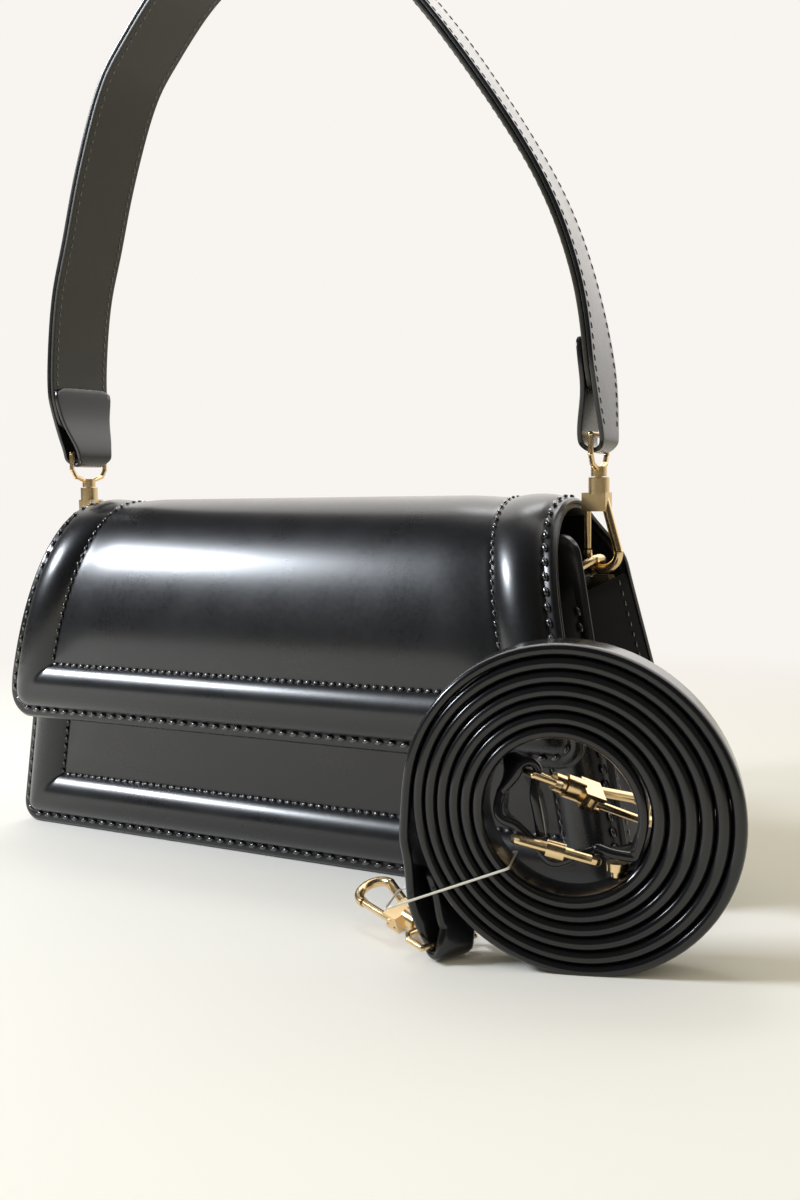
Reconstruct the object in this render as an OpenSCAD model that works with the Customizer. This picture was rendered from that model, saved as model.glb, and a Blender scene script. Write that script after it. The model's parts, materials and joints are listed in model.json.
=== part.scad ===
// Baguette bag of black leather, with a padded flap, a clip-on shoulder strap
// and a long crossbody strap that stands coiled in front of it.
// Sizes are in millimetres. The origin is the centre of the bag's base, on the surface that it
// stands on: +X is the wearer's right in the front view, -Y is the front and +Z is up.

/* [Body] */
// Height from the surface to the crest of the closed flap
bag_h = 129; // [115:1:145]
// Width of the body at its base
base_w = 270; // [250:1:300]
// Width of the body at the height of the crest
top_w = 226; // [222:1:240]
// Depth of the base, front to back
base_d = 64; // [56:1:76]
// Distance of the crest line behind the front panel
crest_in = 20; // [16:0.5:24]
// Height at which the back panel starts to curve over
back_round_z = 104; // [96:1:108]
// How far the back's curve reaches behind the crest line
back_reach = 18.5; // [15:0.5:22]
// Radius of the lower corners of the front and back
corner_r = 9; // [6:0.5:12]
// Height of the gusset's upper ends at the front and back panels
gusset_top_z = 104; // [90:1:104]
// How much lower the gusset's folded middle ends
gusset_dip = 10; // [8:0.5:16]

/* [Leather and fillings] */
// Thickness of the outer leather
leather_t = 1.4; // [1:0.1:1.8]
// Thickness of the stiffening board
board_t = 1.2; // [0.8:0.1:1.6]
// Thickness of the lining
lining_t = 0.8; // [0.5:0.1:1.2]
// Thickness of the base leather
base_t = 1.8; // [1.2:0.1:2.4]
// Bond line between two plies
ply_gap = 0.05; // [0.02:0.01:0.1]

/* [Padded borders] */
// Width of the padded border on the body's front
body_roll_w = 21; // [14:0.5:26]
// Height of that border above the front panel
body_roll_h = 4; // [2:0.25:5]
// Width of the padded border on the flap
flap_roll_w = 22; // [14:0.5:28]
// Height of the flap's border above its panel at the front
flap_roll_h = 3.5; // [2:0.25:5]
// Height of the flap's border where it ends at the crest
flap_roll_end_h = 1.2; // [0.6:0.1:2]

/* [Flap] */
// Height of the hem of the closed flap
hem_z = 45.5; // [38:0.5:56]
// Width of the flap at its hem
hem_w = 252; // [236:1:256]
// Width of the flap at the crest
crest_w = 212.8; // [204:0.2:216]
// How far the flap's face stands in front of the front panel
flap_stand = 15.3; // [13:0.1:18]
// Height at which the flap starts to curve over
round_z = 62; // [56:1:72]
// Fullness of that curve, 2 for an ellipse
fullness = 2.28; // [2:0.02:2.8]
// How far the hem tucks in behind the face
hem_tuck = 1.8; // [0:0.1:3]
// Radius of the hem's corners
hem_r = 12; // [8:0.5:16]
// Place of the hinge line on the back's curve, from the crest
hinge_a = 27; // [20:1:34]

/* [Magnetic snap] */
// Diameter of both halves
snap_d = 18; // [14:1:20]
// Height of its centre
snap_z = 67.5; // [66:0.5:70]
// Thickness of the half on the front panel
snap_low_t = 5.5; // [4:0.1:6]
// Thickness of the half on the flap
snap_high_t = 3.5; // [3:0.1:4]
// Diameter of the stud that joins the halves
stud_d = 6; // [4:0.5:7]
// Diameter of the posts that hold the halves
post_d = 3; // [2:0.5:4]

/* [Rings] */
// Diameter of the wire of the two rings
ring_wire_d = 2.8; // [2:0.1:3]
// Radius of the ring's bow at the middle of the wire
ring_bow_r = 9; // [8:0.5:10]
// Straight length between the ring's bar and its bow
ring_leg = 2; // [1:0.5:4]
// Rise of the ring from its bar to its bow
ring_tilt = 40; // [30:1:50]
// Depth of the ring's bow below the crest
ring_drop = 19.8; // [18:0.2:22]
// Width of the leather tab that holds a ring
tab_w = 12; // [8:0.5:12]
// Thickness of that tab
tab_t = 1.6; // [1.2:0.1:2]
// Length of the tab inside the bag
tab_len = 26; // [18:1:34]

/* [Clasps] */
// Distance between a clasp's axis and the side of the flap's crest
clasp_out = 6.6; // [6:0.1:8]
// Diameter of the eye's wire
eye_wire_d = 1.8; // [1.4:0.1:2]
// Width of the eye between the middles of its wires
eye_w = 18.6; // [18:0.1:20]
// Height of the eye's bar above the collar's lower face
eye_h = 13.3; // [12:0.1:15]
// Diameter of the swivel's stem
stem_d = 2.6; // [2:0.1:3]
// Diameter of the hook's round section
hook_d = 3; // [2.4:0.1:3.2]
// Radius of the hook's bend at the middle of its section
bend_r = 5.4; // [5:0.1:5.8]
// Depth of the bend's centre below the collar
bend_depth = 24.6; // [23.6:0.2:28]
// Diameter of the gate
gate_d = 2.2; // [1.6:0.1:2.4]
// Diameter of the gate's pin
pin_d = 1.5; // [1.2:0.1:1.6]
// Clearance of a pin or stem in its hole
fit = 0.05; // [0.02:0.01:0.08]

/* [Shoulder strap] */
// Width of the strap
strap_w = 31; // [24:1:36]
// Thickness of each of its two plies
strap_ply = 1.7; // [1.3:0.1:1.9]
// Place of its middle, in front of the base's centre
strap_front = 10.5; // [8:0.5:13]
// Rise of the arch above the eyes' bars
arch_rise = 187; // [160:1:230]
// Twist of its right-hand leg about its length
strap_twist = 13; // [0:0.5:16]
// Turn that is left of that twist at the right-hand eye
strap_end_turn = 8; // [0:0.5:10]
// Height of the folded end above the eye's bar
tab_rise = 33; // [26:1:36]
// Width of the strap at the sides of its slack end loops
strap_side_w = 18.5; // [15:0.5:21]
// Width of the end that passes through the eye
strap_end_w = 14; // [10:0.2:14]
// Radius of the slack loop at each end, at the middle of the ply
strap_loop_r = 3.7; // [3.5:0.1:4]

/* [Coiled crossbody strap] */
// Width of the crossbody strap
cross_w = 17.2; // [14:0.2:19]
// Thickness of the crossbody strap
cross_t = 2.8; // [2.2:0.1:2.9]
// Turns of the winding
turns = 6.556; // [5:0.001:6.6]
// Radius of the innermost turn at its start
start_r = 21.3; // [21.3:0.1:24]
// Growth of the radius in one turn
turn_step = 3.75; // [3.75:0.01:3.8]
// Drift of the winding's centre in one turn
turn_drift = 0.45; // [0.3:0.01:0.5]
// How far the winding sags out of round, as a share of its radius
sag = 0.035; // [0:0.005:0.04]
// Slant of its longer diameter
sag_a = 137; // [120:1:160]
// Width of the end that passes through a clasp's eye
cross_end_w = 12.4; // [10:0.2:12.6]
// Depth of the flat that the winding stands on
foot_cut = 0.5; // [0.3:0.1:0.8]
// Length of the slider along the strap
slider_l = 25.6; // [24:0.1:27]
// Diameter of the slider's wire
slider_d = 2.8; // [2.2:0.1:2.8]
// Diameter of the winding's tie thread
thread_d = 0.8; // [0.5:0.1:1]

/* [Hidden] */

$fn = 48;
BLACK = "#1b1c20";
LINING = "#3a392f";
BOARD = "#8c8474";
GOLD = "#cfa45c";
STEEL = "#c9c9c4";
THREAD = "#e9e5da";
big = 400;

flap_t = leather_t + board_t + lining_t + 2 * ply_gap;
wall_t = leather_t + board_t + lining_t + 2 * ply_gap;
front_y = -base_d / 2;
crest_y = front_y + crest_in;
back_y = crest_y + back_reach;
flap_reach = flap_stand + crest_in;
hinge_y = crest_y + back_reach * sin(hinge_a);
hinge_z = back_round_z + (bag_h - back_round_z) * cos(hinge_a);
hinge_gap = 0.2;
panel_clear = 0.6;

// Half widths of the body and of the flap at a height
function body_half(z) = base_w / 2 - (base_w - top_w) / 2 * z / bag_h;
function flap_half(z) = hem_w / 2 - (hem_w - crest_w) / 2 * (z - hem_z) / (bag_h - hem_z);

// General functions on points
function unit(v) = v / norm(v);
function flip(p) = [for (i = [len(p) - 1 : -1 : 0]) p[i]];
function mirrored(p) = [for (q = p) [-q[0], q[1]]];
function along(p, i) = unit(p[min(i + 1, len(p) - 1)] - p[max(i - 1, 0)]);
function inset(p, d) = [for (i = [0 : len(p) - 1]) let (t = along(p, i)) p[i] + d * [t[1], -t[0]]];
function band(p, near, far) = concat(inset(p, near), flip(inset(p, far)));
function ease(x) = let (c = min(1, max(0, x))) c * c * (3 - 2 * c);
function mix(a, b, s) = a + (b - a) * s;

// Catmull-Rom curve through hand-placed points
function blend4(a, b, c, d, t) =
    0.5 * (2 * b + (c - a) * t + (2 * a - 5 * b + 4 * c - d) * t * t + (3 * b - a - 3 * c + d) * t * t * t);
function curve(p, steps) = concat(
    [for (i = [0 : len(p) - 2]) for (k = [0 : steps - 1])
        blend4(p[max(i - 1, 0)], p[i], p[i + 1], p[min(i + 2, len(p) - 1)], k / steps)],
    [p[len(p) - 1]]);

// Solid between two grids of points with the same rows and columns
module slab(face, rear) {
    rows = len(face);
    cols = len(face[0]);
    half = rows * cols;
    function at(i, j) = i * cols + j;
    top = [for (i = [0 : rows - 2]) for (j = [0 : cols - 2]) each [
        [at(i, j), at(i + 1, j), at(i + 1, j + 1)],
        [at(i, j), at(i + 1, j + 1), at(i, j + 1)]]];
    bottom = [for (f = top) [f[0] + half, f[2] + half, f[1] + half]];
    rim = concat(
        [for (j = [0 : cols - 1]) at(0, j)],
        [for (i = [1 : rows - 1]) at(i, cols - 1)],
        [for (j = [cols - 2 : -1 : 0]) at(rows - 1, j)],
        [for (i = [rows - 2 : -1 : 1]) at(i, 0)]);
    wall = [for (k = [0 : len(rim) - 1]) let (a = rim[k], b = rim[(k + 1) % len(rim)]) each [
        [a, b, b + half], [a, b + half, a + half]]];
    polyhedron([for (r = face) each r, for (r = rear) each r], concat(top, bottom, wall), convexity = 8);
}

// Solid through a row of convex rings with the same number of points, closed by fans from one of them
module skin(rings, hub = 3) {
    n = len(rings[0]);
    m = len(rings);
    side = [for (i = [0 : m - 2]) for (j = [0 : n - 1]) let (k = (j + 1) % n) each [
        [i * n + j, i * n + k, (i + 1) * n + k],
        [i * n + j, (i + 1) * n + k, (i + 1) * n + j]]];
    last = (m - 1) * n;
    caps = [for (j = [1 : n - 2]) let (a = (hub + j) % n, b = (hub + j + 1) % n) each [
        [hub, b, a],
        [last + hub, last + a, last + b]]];
    polyhedron([for (r = rings) each r], concat(side, caps), convexity = 8);
}

// Side view of the flap's outer face, [y, z], from the hem over the crest to the hinge line
flap_curve = concat(
    [[front_y - flap_stand + hem_tuck, hem_z]],
    [for (a = [0 : 7.5 : 90]) [crest_y - flap_reach * pow(cos(a), 2 / fullness),
        round_z + (bag_h - round_z) * pow(sin(a), 2 / fullness)]],
    [for (k = [1 : 4]) [crest_y + back_reach * sin(hinge_a * k / 4),
        back_round_z + (bag_h - back_round_z) * cos(hinge_a * k / 4)]]);
// Side view of the back's outer face, from the hinge line to the base
back_curve = concat(
    [for (k = [0 : 7]) let (a = mix(hinge_a, 90, k / 7))
        [crest_y + back_reach * sin(a), back_round_z + (bag_h - back_round_z) * cos(a)]],
    [[base_d / 2, 0]]);
// Side view of the front panel's outer face, pressed back at its top by the closed flap
flap_inside = inset(flap_curve, flap_t + panel_clear);
front_top = [for (p = flap_inside) if (p[0] > front_y && p[1] < bag_h - 9.5 && p[0] < crest_y) p];
front_curve = concat([[front_y, 0], [front_y, front_top[0][1] - 3]], front_top);

// Depth of the back's outer face at a height below its curve
back_lean = (base_d / 2 - back_y) / back_round_z;
function back_at(z) = base_d / 2 - back_lean * z;

// Lower right corner of an outline, as an arc that ends on the side
function corner(x, z, r) = [for (a = [90 : -15 : 0]) [x - r + r * cos(a), z + r - r * sin(a)]];
module side_profile(points) rotate([90, 0, 90]) linear_extrude(big, center = true) polygon(points);
module front_profile(points) rotate([90, 0, 0]) linear_extrude(big, center = true) polygon(points);
function whole(right) = concat(right, flip(mirrored(right)));

frame_inset = 0.6;
gusset_t = 1.8;
function body_outline(pull, low, high) = let (r = max(1, corner_r - pull)) whole(concat(
    corner(body_half(corner_r) - pull, low, r), [[body_half(high) - pull, high]]));
function flap_outline(pull, low) = let (r = hem_r - pull) whole(concat(
    corner(flap_half(hem_z + hem_r) - pull, low + pull, r), [[flap_half(bag_h + 2) - pull, bag_h + 2]]));

// Body

base_half = body_half(corner_r) - corner_r - frame_inset - gusset_t - ply_gap;
module base_panel() color(BLACK)
    translate([-base_half, front_y + leather_t + ply_gap, 0])
        cube([2 * base_half, base_d - 2 * (leather_t + ply_gap) - back_lean * base_t - 0.1, base_t]);

module base_board() color(BOARD)
    translate([-base_half, front_y + wall_t + ply_gap, base_t + ply_gap])
        cube([2 * base_half, base_d - 2 * wall_t - 3 * board_t, board_t]);

panel_top_r = 8;
panel_top = front_curve[len(front_curve) - 1][1];
function panel_outline(pull, low) = let (x = body_half(panel_top) - pull, r = panel_top_r)
    whole(concat(corner(body_half(corner_r) - pull, low, max(1, corner_r - pull)),
        [for (a = [0 : 15 : 90]) [x - r + r * cos(a), panel_top + 1 - r + r * sin(a)]]));
module post_holes(y) translate([0, y, snap_z]) rotate([90, 0, 0])
    cylinder(h = 12, d = post_d + 2 * fit, center = true);

module front_panel() color(BLACK) difference() {
    intersection() {
        side_profile(band(front_curve, 0, leather_t));
        front_profile(panel_outline(0, 0));
    }
    post_holes(front_y);
}

board_low = base_t + board_t + 2 * ply_gap;
straight_front = [[front_y, board_low], [front_y, gusset_top_z + 4]];
module front_board() color(BOARD) difference() {
    intersection() {
        side_profile(band(straight_front, leather_t + ply_gap, leather_t + ply_gap + board_t));
        front_profile(body_outline(6, board_low, gusset_top_z + 4));
    }
    post_holes(front_y);
}

// Cross-section of a padded border: shares of its width and of its height
ROLL = [[0, 0], [0.05, 0.5], [0.2, 0.9], [0.45, 1], [0.7, 0.93], [0.92, 0.55], [1, 0],
    [0.75, 0], [0.5, 0], [0.25, 0]];
frame_end_z = 104;
function frame_side(w, r) = concat(
    [for (z = [frame_end_z : -24 : corner_r + 16]) [body_half(z) - frame_inset - w, z]],
    [for (a = [0 : 15 : 90])
        [body_half(max(w, corner_r)) - frame_inset - w - r + r * cos(a), frame_inset + w + r - r * sin(a)]],
    [[80, frame_inset + w]]);
function frame_path(w, r) = let (right = frame_side(w, r)) concat(mirrored(right), flip(right));
module front_frame() color(BLACK) {
    outer = frame_path(0, corner_r);
    inner = frame_path(body_roll_w, 2);
    skin([for (i = [0 : len(outer) - 1]) [for (s = ROLL) let (q = mix(outer[i], inner[i], s[0]))
        [q[0], front_y - ply_gap - body_roll_h * s[1], q[1]]]]);
}

back_top = [[0, hinge_z + 4], [flap_half(bag_h), hinge_z + 4], [flap_half(bag_h), hinge_z],
    [body_half(106), 106]];
module back_panel() color(BLACK) intersection() {
    side_profile(band(back_curve, 0, leather_t));
    front_profile(whole(concat(corner(body_half(corner_r), 0, corner_r), flip(back_top))));
    translate([-big / 2, hinge_y, -big / 2]) cube([big, big, big]);
}

module back_board() color(BOARD) intersection() {
    side_profile(band([for (p = back_curve) if (p[1] <= back_round_z) p],
        leather_t + ply_gap, leather_t + ply_gap + board_t));
    front_profile(body_outline(6, board_low, back_round_z - 1));
}

// A gusset is a wall that folds inward, deeper towards its top
clasp_x = crest_w / 2 + clasp_out;
ring_z = bag_h - ring_drop;
ring_reach = ring_leg + ring_bow_r;
bar_x = clasp_x - ring_reach * cos(ring_tilt);
bar_z = ring_z - ring_reach * sin(ring_tilt);
fold_top_z = gusset_top_z - gusset_dip;
fold_x = bar_x - 5.6;
module gusset() {
    heights = [0, 0.8, 2.4, 5, corner_r, 30, 55, 80, gusset_top_z];
    side = [for (z = heights) let (
            r = corner_r,
            round = z < r ? r - sqrt(r * r - (r - z) * (r - z)) : 0,
            x = (z < r ? body_half(r) : body_half(z)) - round - frame_inset,
            s = z / gusset_top_z,
            near = front_y + leather_t + ply_gap,
            far = back_at(z) - leather_t * 1.05 - ply_gap,
            fold = mix(x, fold_x, s < 0.1 ? 0 : (s - 0.1) / 0.9))
        [[x, near, z], [fold, mix(near, far, 0.5), z * mix(1, fold_top_z / gusset_top_z, s)], [x, far, z]]];
    slab(side, [for (row = side) [for (p = row) p - [gusset_t, 0, 0]]]);
}
module right_gusset() color(BLACK) gusset();
module left_gusset() color(BLACK) mirror([1, 0, 0]) gusset();

lining_curve = let (
        z0 = board_low,
        y0 = front_y + leather_t + board_t + 2 * ply_gap,
        d1 = leather_t + board_t + 2 * ply_gap)
    [[y0, gusset_top_z + 3], [y0, z0], [back_at(z0) - d1 * 1.03, z0],
        [back_at(gusset_top_z - 1) - d1 * 1.03, gusset_top_z - 1]];
module body_lining() color(LINING) intersection() {
    side_profile([
        lining_curve[0], lining_curve[1], lining_curve[2], lining_curve[3],
        lining_curve[3] - [lining_t * 1.03, 0], lining_curve[2] + [-lining_t, lining_t],
        lining_curve[1] + [lining_t, lining_t], lining_curve[0] + [lining_t, 0]]);
    front_profile(body_outline(7, board_low - 1, gusset_top_z + 3));
}

// Leather tab round a ring's bar, sewn inside the gusset's fold
tab_x = fold_x - gusset_t - 0.1 - tab_t / 2;
module ring_tab() translate([0, -strap_front, 0]) rotate([90, 0, 0]) linear_extrude(tab_w, center = true) {
    bore = ring_wire_d / 2 + fit;
    knee = [tab_x, fold_top_z + 3.5];
    way = [bar_x, bar_z] - knee;
    difference() {
        union() {
            translate([bar_x, bar_z]) circle(bore + tab_t);
            translate(knee) rotate(atan2(way[1], way[0])) translate([0, -tab_t / 2])
                square([norm(way), tab_t]);
            translate(knee) circle(tab_t / 2);
            translate(knee - [tab_t / 2, tab_len]) square([tab_t, tab_len]);
        }
        translate([bar_x, bar_z]) circle(bore);
    }
}
module right_ring_tab() color(BLACK) ring_tab();
module left_ring_tab() color(BLACK) mirror([1, 0, 0]) ring_tab();

module ring() translate([bar_x, -strap_front, bar_z]) rotate([0, -ring_tilt, 0]) {
    rotate([90, 0, 0]) cylinder(h = 2 * ring_bow_r, d = ring_wire_d, center = true);
    for (s = [-1, 1]) translate([0, s * ring_bow_r, 0]) {
        sphere(d = ring_wire_d);
        rotate([0, 90, 0]) cylinder(h = ring_leg, d = ring_wire_d);
    }
    translate([ring_leg, 0, 0]) rotate([0, 0, -90]) rotate_extrude(angle = 180)
        translate([ring_bow_r, 0]) circle(d = ring_wire_d);
}
module right_ring() color(GOLD) ring();
module left_ring() color(GOLD) mirror([1, 0, 0]) ring();

// Flap

module flap_ply(near, far, pull) intersection() {
    side_profile(band(flap_curve, near, far));
    front_profile(flap_outline(pull, hem_z));
    translate([-big / 2, -big + hinge_y - hinge_gap, 0]) cube([big, big, big]);
}
// The snap's place behind the flap's lining, with +Z pointing out through the leather
snap_seat = 0.6;
washer_t = 0.5;
washer_at = snap_seat + lining_t + 0.3;
module at_flap_snap() translate([0, front_y - flap_stand + flap_t + snap_seat, snap_z]) rotate([90, 0, 0])
    children();
module flap_posts() at_flap_snap() cylinder(h = washer_at + 1, d = post_d + 2 * fit);
module flap_panel() color(BLACK) flap_ply(0, leather_t, 0);
module flap_board() color(BOARD) difference() {
    flap_ply(leather_t + ply_gap, leather_t + ply_gap + board_t, 1.5);
    flap_posts();
    at_flap_snap() translate([0, 0, washer_at - ply_gap]) cylinder(h = flap_t, d = snap_d - 2);
}
module flap_lining() color(LINING) difference() {
    flap_ply(leather_t + board_t + 2 * ply_gap, flap_t, 0.5);
    flap_posts();
}
// Place on the flap's face: x, a place on the curve counted in its points, and a height
flap_out = inset(flap_curve, -1);
flap_last = len(flap_curve) - 1;
function flap_place(x, i, h) = let (
        a = floor(i), s = i - a, b = min(a + 1, flap_last),
        q = mix(flap_curve[a], flap_curve[b], s),
        n = unit(mix(flap_out[a] - flap_curve[a], flap_out[b] - flap_curve[b], s)))
    [x, q[0] + n[0] * h, q[1] + n[1] * h];
hem_step = flap_curve[1][1] - flap_curve[0][1];
next_step = flap_curve[2][1] - flap_curve[1][1];
// Place on the curve, counted in its points, of a height near the hem
function flap_count(z) = z - hem_z < hem_step
    ? (z - hem_z) / hem_step
    : 1 + (z - hem_z - hem_step) / next_step;
flap_leg = concat([flap_last - 0.1], [for (k = [flap_last - 1 : -1 : 1]) k]);
function flap_side(w, r) = concat(
    [for (k = flap_leg) let (i = max(k, flap_count(hem_z + w + r) + 0.1))
        [flap_half(flap_curve[floor(i)][1]) - w, i]],
    [for (a = [0 : 15 : 90])
        [flap_half(hem_z + hem_r) - w - r + r * cos(a), flap_count(hem_z + w + r - r * sin(a))]],
    [[70, flap_count(hem_z + w)]]);
function flap_path(w, r) = let (h = flap_side(w, r)) concat(mirrored(h), flip(h));
function flap_roll(i) = mix(flap_roll_h, flap_roll_end_h, ease((i - 4) / (flap_last - 6)));
module flap_frame() color(BLACK) {
    outer = flap_path(0.4, hem_r);
    inner = flap_path(flap_roll_w, 2);
    skin([for (k = [0 : len(outer) - 1]) [for (s = ROLL) let (
            x = mix(outer[k][0], inner[k][0], s[0]),
            i = mix(outer[k][1], inner[k][1], s[0]))
        flap_place(x, i, 4 * ply_gap + flap_roll(i) * s[1])]]);
}

// Magnetic snap: each half is held by a post with a washer behind the board

stud_reach = 3;
module snap_socket() color(STEEL) translate([0, front_y, snap_z]) rotate([90, 0, 0]) {
    difference() {
        cylinder(h = snap_low_t, d = snap_d);
        translate([0, 0, snap_low_t - stud_reach]) cylinder(h = stud_reach + 1, d = stud_d + 1.2);
    }
    translate([0, 0, -leather_t - ply_gap - board_t])
        cylinder(h = leather_t + ply_gap + board_t + 0.5, d = post_d);
}
module snap_socket_washer() color(STEEL)
    translate([0, front_y + leather_t + board_t + 2 * ply_gap + lining_t + 0.05, snap_z]) rotate([-90, 0, 0])
        cylinder(h = 0.8, d = snap_d);
module snap_stud() color(STEEL) at_flap_snap() {
    translate([0, 0, -snap_high_t]) cylinder(h = snap_high_t, d = snap_d);
    translate([0, 0, -snap_high_t - stud_reach]) cylinder(h = stud_reach + 0.5, d = stud_d);
    translate([0, 0, -0.5]) cylinder(h = washer_at + 0.5, d = post_d);
}
module snap_stud_washer() color(STEEL) at_flap_snap() translate([0, 0, washer_at])
    cylinder(h = washer_t, d = snap_d - 3);

// Clasp, in its own frame: the axis is Z, the eye's bar lies along Y above, the hook opens to -X below

collar_h = 3.2;
collar_r = 2.6;
head_r = stem_d / 2 + 0.8;
swivel_gap = 0.3;
house_r = 3.4;
block_top = -5.2;
block_low = -11.3;
gate_x = -3.4;
gate_z = -8.6;
boss_r = 1.9;
boss_w = 2.5;
cheek = 2.6;
nose_up = 0.8;
nose_x = -4;
bend_x = nose_x + bend_r;
arm_x = 1.9;
// A corner between two wires is a ball, thicker than the wire by this much
knuckle = 0.12;
module wire(a, b, d) {
    v = b - a;
    translate(a) rotate([0, acos(v[2] / norm(v)), atan2(v[1], v[0])]) cylinder(h = norm(v), d = d);
}
module eye() {
    side = [[eye_w / 2, eye_h], [eye_w / 2, 7], [eye_w / 2 - 1.9, 4.1], [1.5, collar_h - 0.9]];
    wire([0, -eye_w / 2, eye_h], [0, eye_w / 2, eye_h], eye_wire_d);
    for (s = [-1, 1]) for (k = [0 : 2]) {
        translate([0, s * side[k][0], side[k][1]]) sphere(d = eye_wire_d + knuckle);
        wire([0, s * side[k + 1][0], side[k + 1][1]], [0, s * side[k][0], side[k][1]], eye_wire_d);
    }
    cylinder(h = collar_h, r = collar_r);
    translate([0, 0, -3]) cylinder(h = 3.5, d = stem_d);
    translate([0, 0, -4.2]) cylinder(h = 1.3, r = head_r);
}
module hook() {
    difference() {
        union() {
            translate([0, 0, block_top - 0.5]) cylinder(h = -block_top - swivel_gap + 0.5, r = house_r);
            translate([-5, -cheek, block_low])
                cube([5 + arm_x + hook_d / 2, 2 * cheek, block_top - block_low]);
        }
        translate([0, 0, -3]) cylinder(h = 4, d = stem_d + 2 * fit);
        translate([0, 0, -4.5]) cylinder(h = 1.9, r = head_r + 0.15);
        translate([-7, -boss_w / 2 - 0.1, block_low - 1])
            cube([7 - 1.2, boss_w + 0.2, gate_z + boss_r + 0.3 - block_low + 1]);
        translate([gate_x, 0, gate_z]) rotate([90, 0, 0]) cylinder(h = 8, d = pin_d + 0.04, center = true);
    }
    wire([bend_x + bend_r, 0, -bend_depth], [arm_x, 0, block_top - 2], hook_d);
    translate([bend_x + bend_r, 0, -bend_depth]) sphere(d = hook_d + knuckle);
    translate([bend_x, 0, -bend_depth]) rotate([90, 0, 0]) rotate([0, 0, 180]) rotate_extrude(angle = 180)
        translate([bend_r, 0]) circle(d = hook_d);
    translate([nose_x, 0, -bend_depth]) cylinder(h = nose_up, d = hook_d);
}
module gate() difference() {
    union() {
        translate([gate_x, 0, gate_z]) rotate([90, 0, 0]) cylinder(h = boss_w, r = boss_r, center = true);
        translate([nose_x, 0, -bend_depth + nose_up + 0.5])
            cylinder(h = gate_z + bend_depth - nose_up - 0.5 - pin_d / 2, d = gate_d);
    }
    translate([gate_x, 0, gate_z]) rotate([90, 0, 0]) cylinder(h = 8, d = pin_d + 2 * fit, center = true);
}
module gate_pin() translate([gate_x, 0, gate_z]) rotate([90, 0, 0])
    cylinder(h = 2 * cheek, d = pin_d, center = true);

// Clasps of the shoulder strap, hooked round the bows of the rings
hook_play = 0.6;
clasp_z = ring_z - ring_wire_d / 2 - hook_play - hook_d / 2 + bend_r + bend_depth;
module at_right() translate([clasp_x, -strap_front, clasp_z]) children();
module at_left() translate([-clasp_x, -strap_front, clasp_z]) rotate([0, 0, 180]) children();
module left_eye() color(GOLD) at_left() eye();
module left_hook() color(GOLD) at_left() hook();
module left_gate() color(GOLD) at_left() gate();
module left_gate_pin() color(STEEL) at_left() gate_pin();
module right_eye() color(GOLD) at_right() rotate([0, 0, strap_end_turn]) eye();
module right_hook() color(GOLD) at_right() hook();
module right_gate() color(GOLD) at_right() gate();
module right_gate_pin() color(STEEL) at_right() gate_pin();

// Shoulder strap: its middle line as shares of the half span and of the rise
ARCH = [[-1, 0], [-1.01, 0.08], [-1.015, 0.18], [-0.985, 0.33], [-0.925, 0.45], [-0.855, 0.59],
    [-0.75, 0.745],
    [-0.64, 0.83], [-0.465, 0.93], [-0.28, 0.983], [-0.07, 1], [0.14, 0.962], [0.32, 0.875],
    [0.485, 0.76], [0.655, 0.615], [0.79, 0.485], [0.872, 0.385], [0.927, 0.29], [0.962, 0.2],
    [0.985, 0.1], [1, 0]];
eye_z = clasp_z + eye_h;
loop_in = strap_loop_r - strap_ply / 2;
loop_sag = 1.2;
loop_z = eye_z - loop_sag;
arch_line = curve([for (p = ARCH) [p[0] * (clasp_x + loop_in), loop_z + p[1] * arch_rise]], 4);
function strap_width(z) = mix(strap_side_w, strap_w, pow(min(1, max(0, (z - loop_z - 2) / 21)), 0.8));
function loop_width(a) = mix(strap_side_w, strap_end_w, ease((sin(a) - 0.3) / 0.5));
// Place on the strap: a point on the arch, an offset outward and a share of the width
function strap_frame(i) = let (
        t2 = along(arch_line, i), t = [t2[0], 0, t2[1]], s = i / (len(arch_line) - 1),
        a = (strap_twist - strap_end_turn) * ease((s - 0.86) / 0.13) - strap_twist * ease((s - 0.45) / 0.4),
        n0 = cross(t, [0, 1, 0]),
        w = [0, 1, 0] * cos(a) + n0 * sin(a))
    [[arch_line[i][0], -strap_front, arch_line[i][1]], cross(t, w), w, t];
function strap_row(c, w, width) = [c - w * width / 2, c + w * width / 2];
// One end of the outer ply: up the inside from the loop, as rows from the loop's outer side inward
function strap_end(i, steps, down) = let (f = strap_frame(i), c = f[0] - f[1] * loop_in) [
    for (a = [0 : 22.5 : 180]) let (n = cos(a) * f[1] + sin(a) * down * f[3])
        [c + strap_loop_r * n, f[2], loop_width(a), n],
    for (k = steps) let (g = strap_frame(k), z = arch_line[k][1], s = ease((z - loop_z) / (tab_rise - 15)))
        [g[0] + g[1] * mix(strap_ply / 2 - 2 * strap_loop_r, -1.5 * strap_ply - 3 * ply_gap, s),
            g[2], strap_width(z), -g[1]]];
function strap_run() = let (
        last = len(arch_line) - 1,
        up = [for (k = [1 : last]) if (k < last / 2 && arch_line[k][1] < loop_z + tab_rise) k],
        down = [for (k = [last - 1 : -1 : 1]) if (k > last / 2 && arch_line[k][1] < loop_z + tab_rise) k])
    concat(flip(strap_end(0, up, -1)),
        [for (k = [1 : last - 1]) let (g = strap_frame(k))
            [g[0] + g[1] * strap_ply / 2, g[2], strap_width(arch_line[k][1]), g[1]]],
        strap_end(last, down, 1));
module strap_outer() color(BLACK) {
    run = strap_run();
    h = strap_ply / 2 - ply_gap;
    slab([for (r = run) strap_row(r[0] - h * r[3], r[1], r[2])],
        [for (r = run) strap_row(r[0] + h * r[3], r[1], r[2])]);
}
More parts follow.
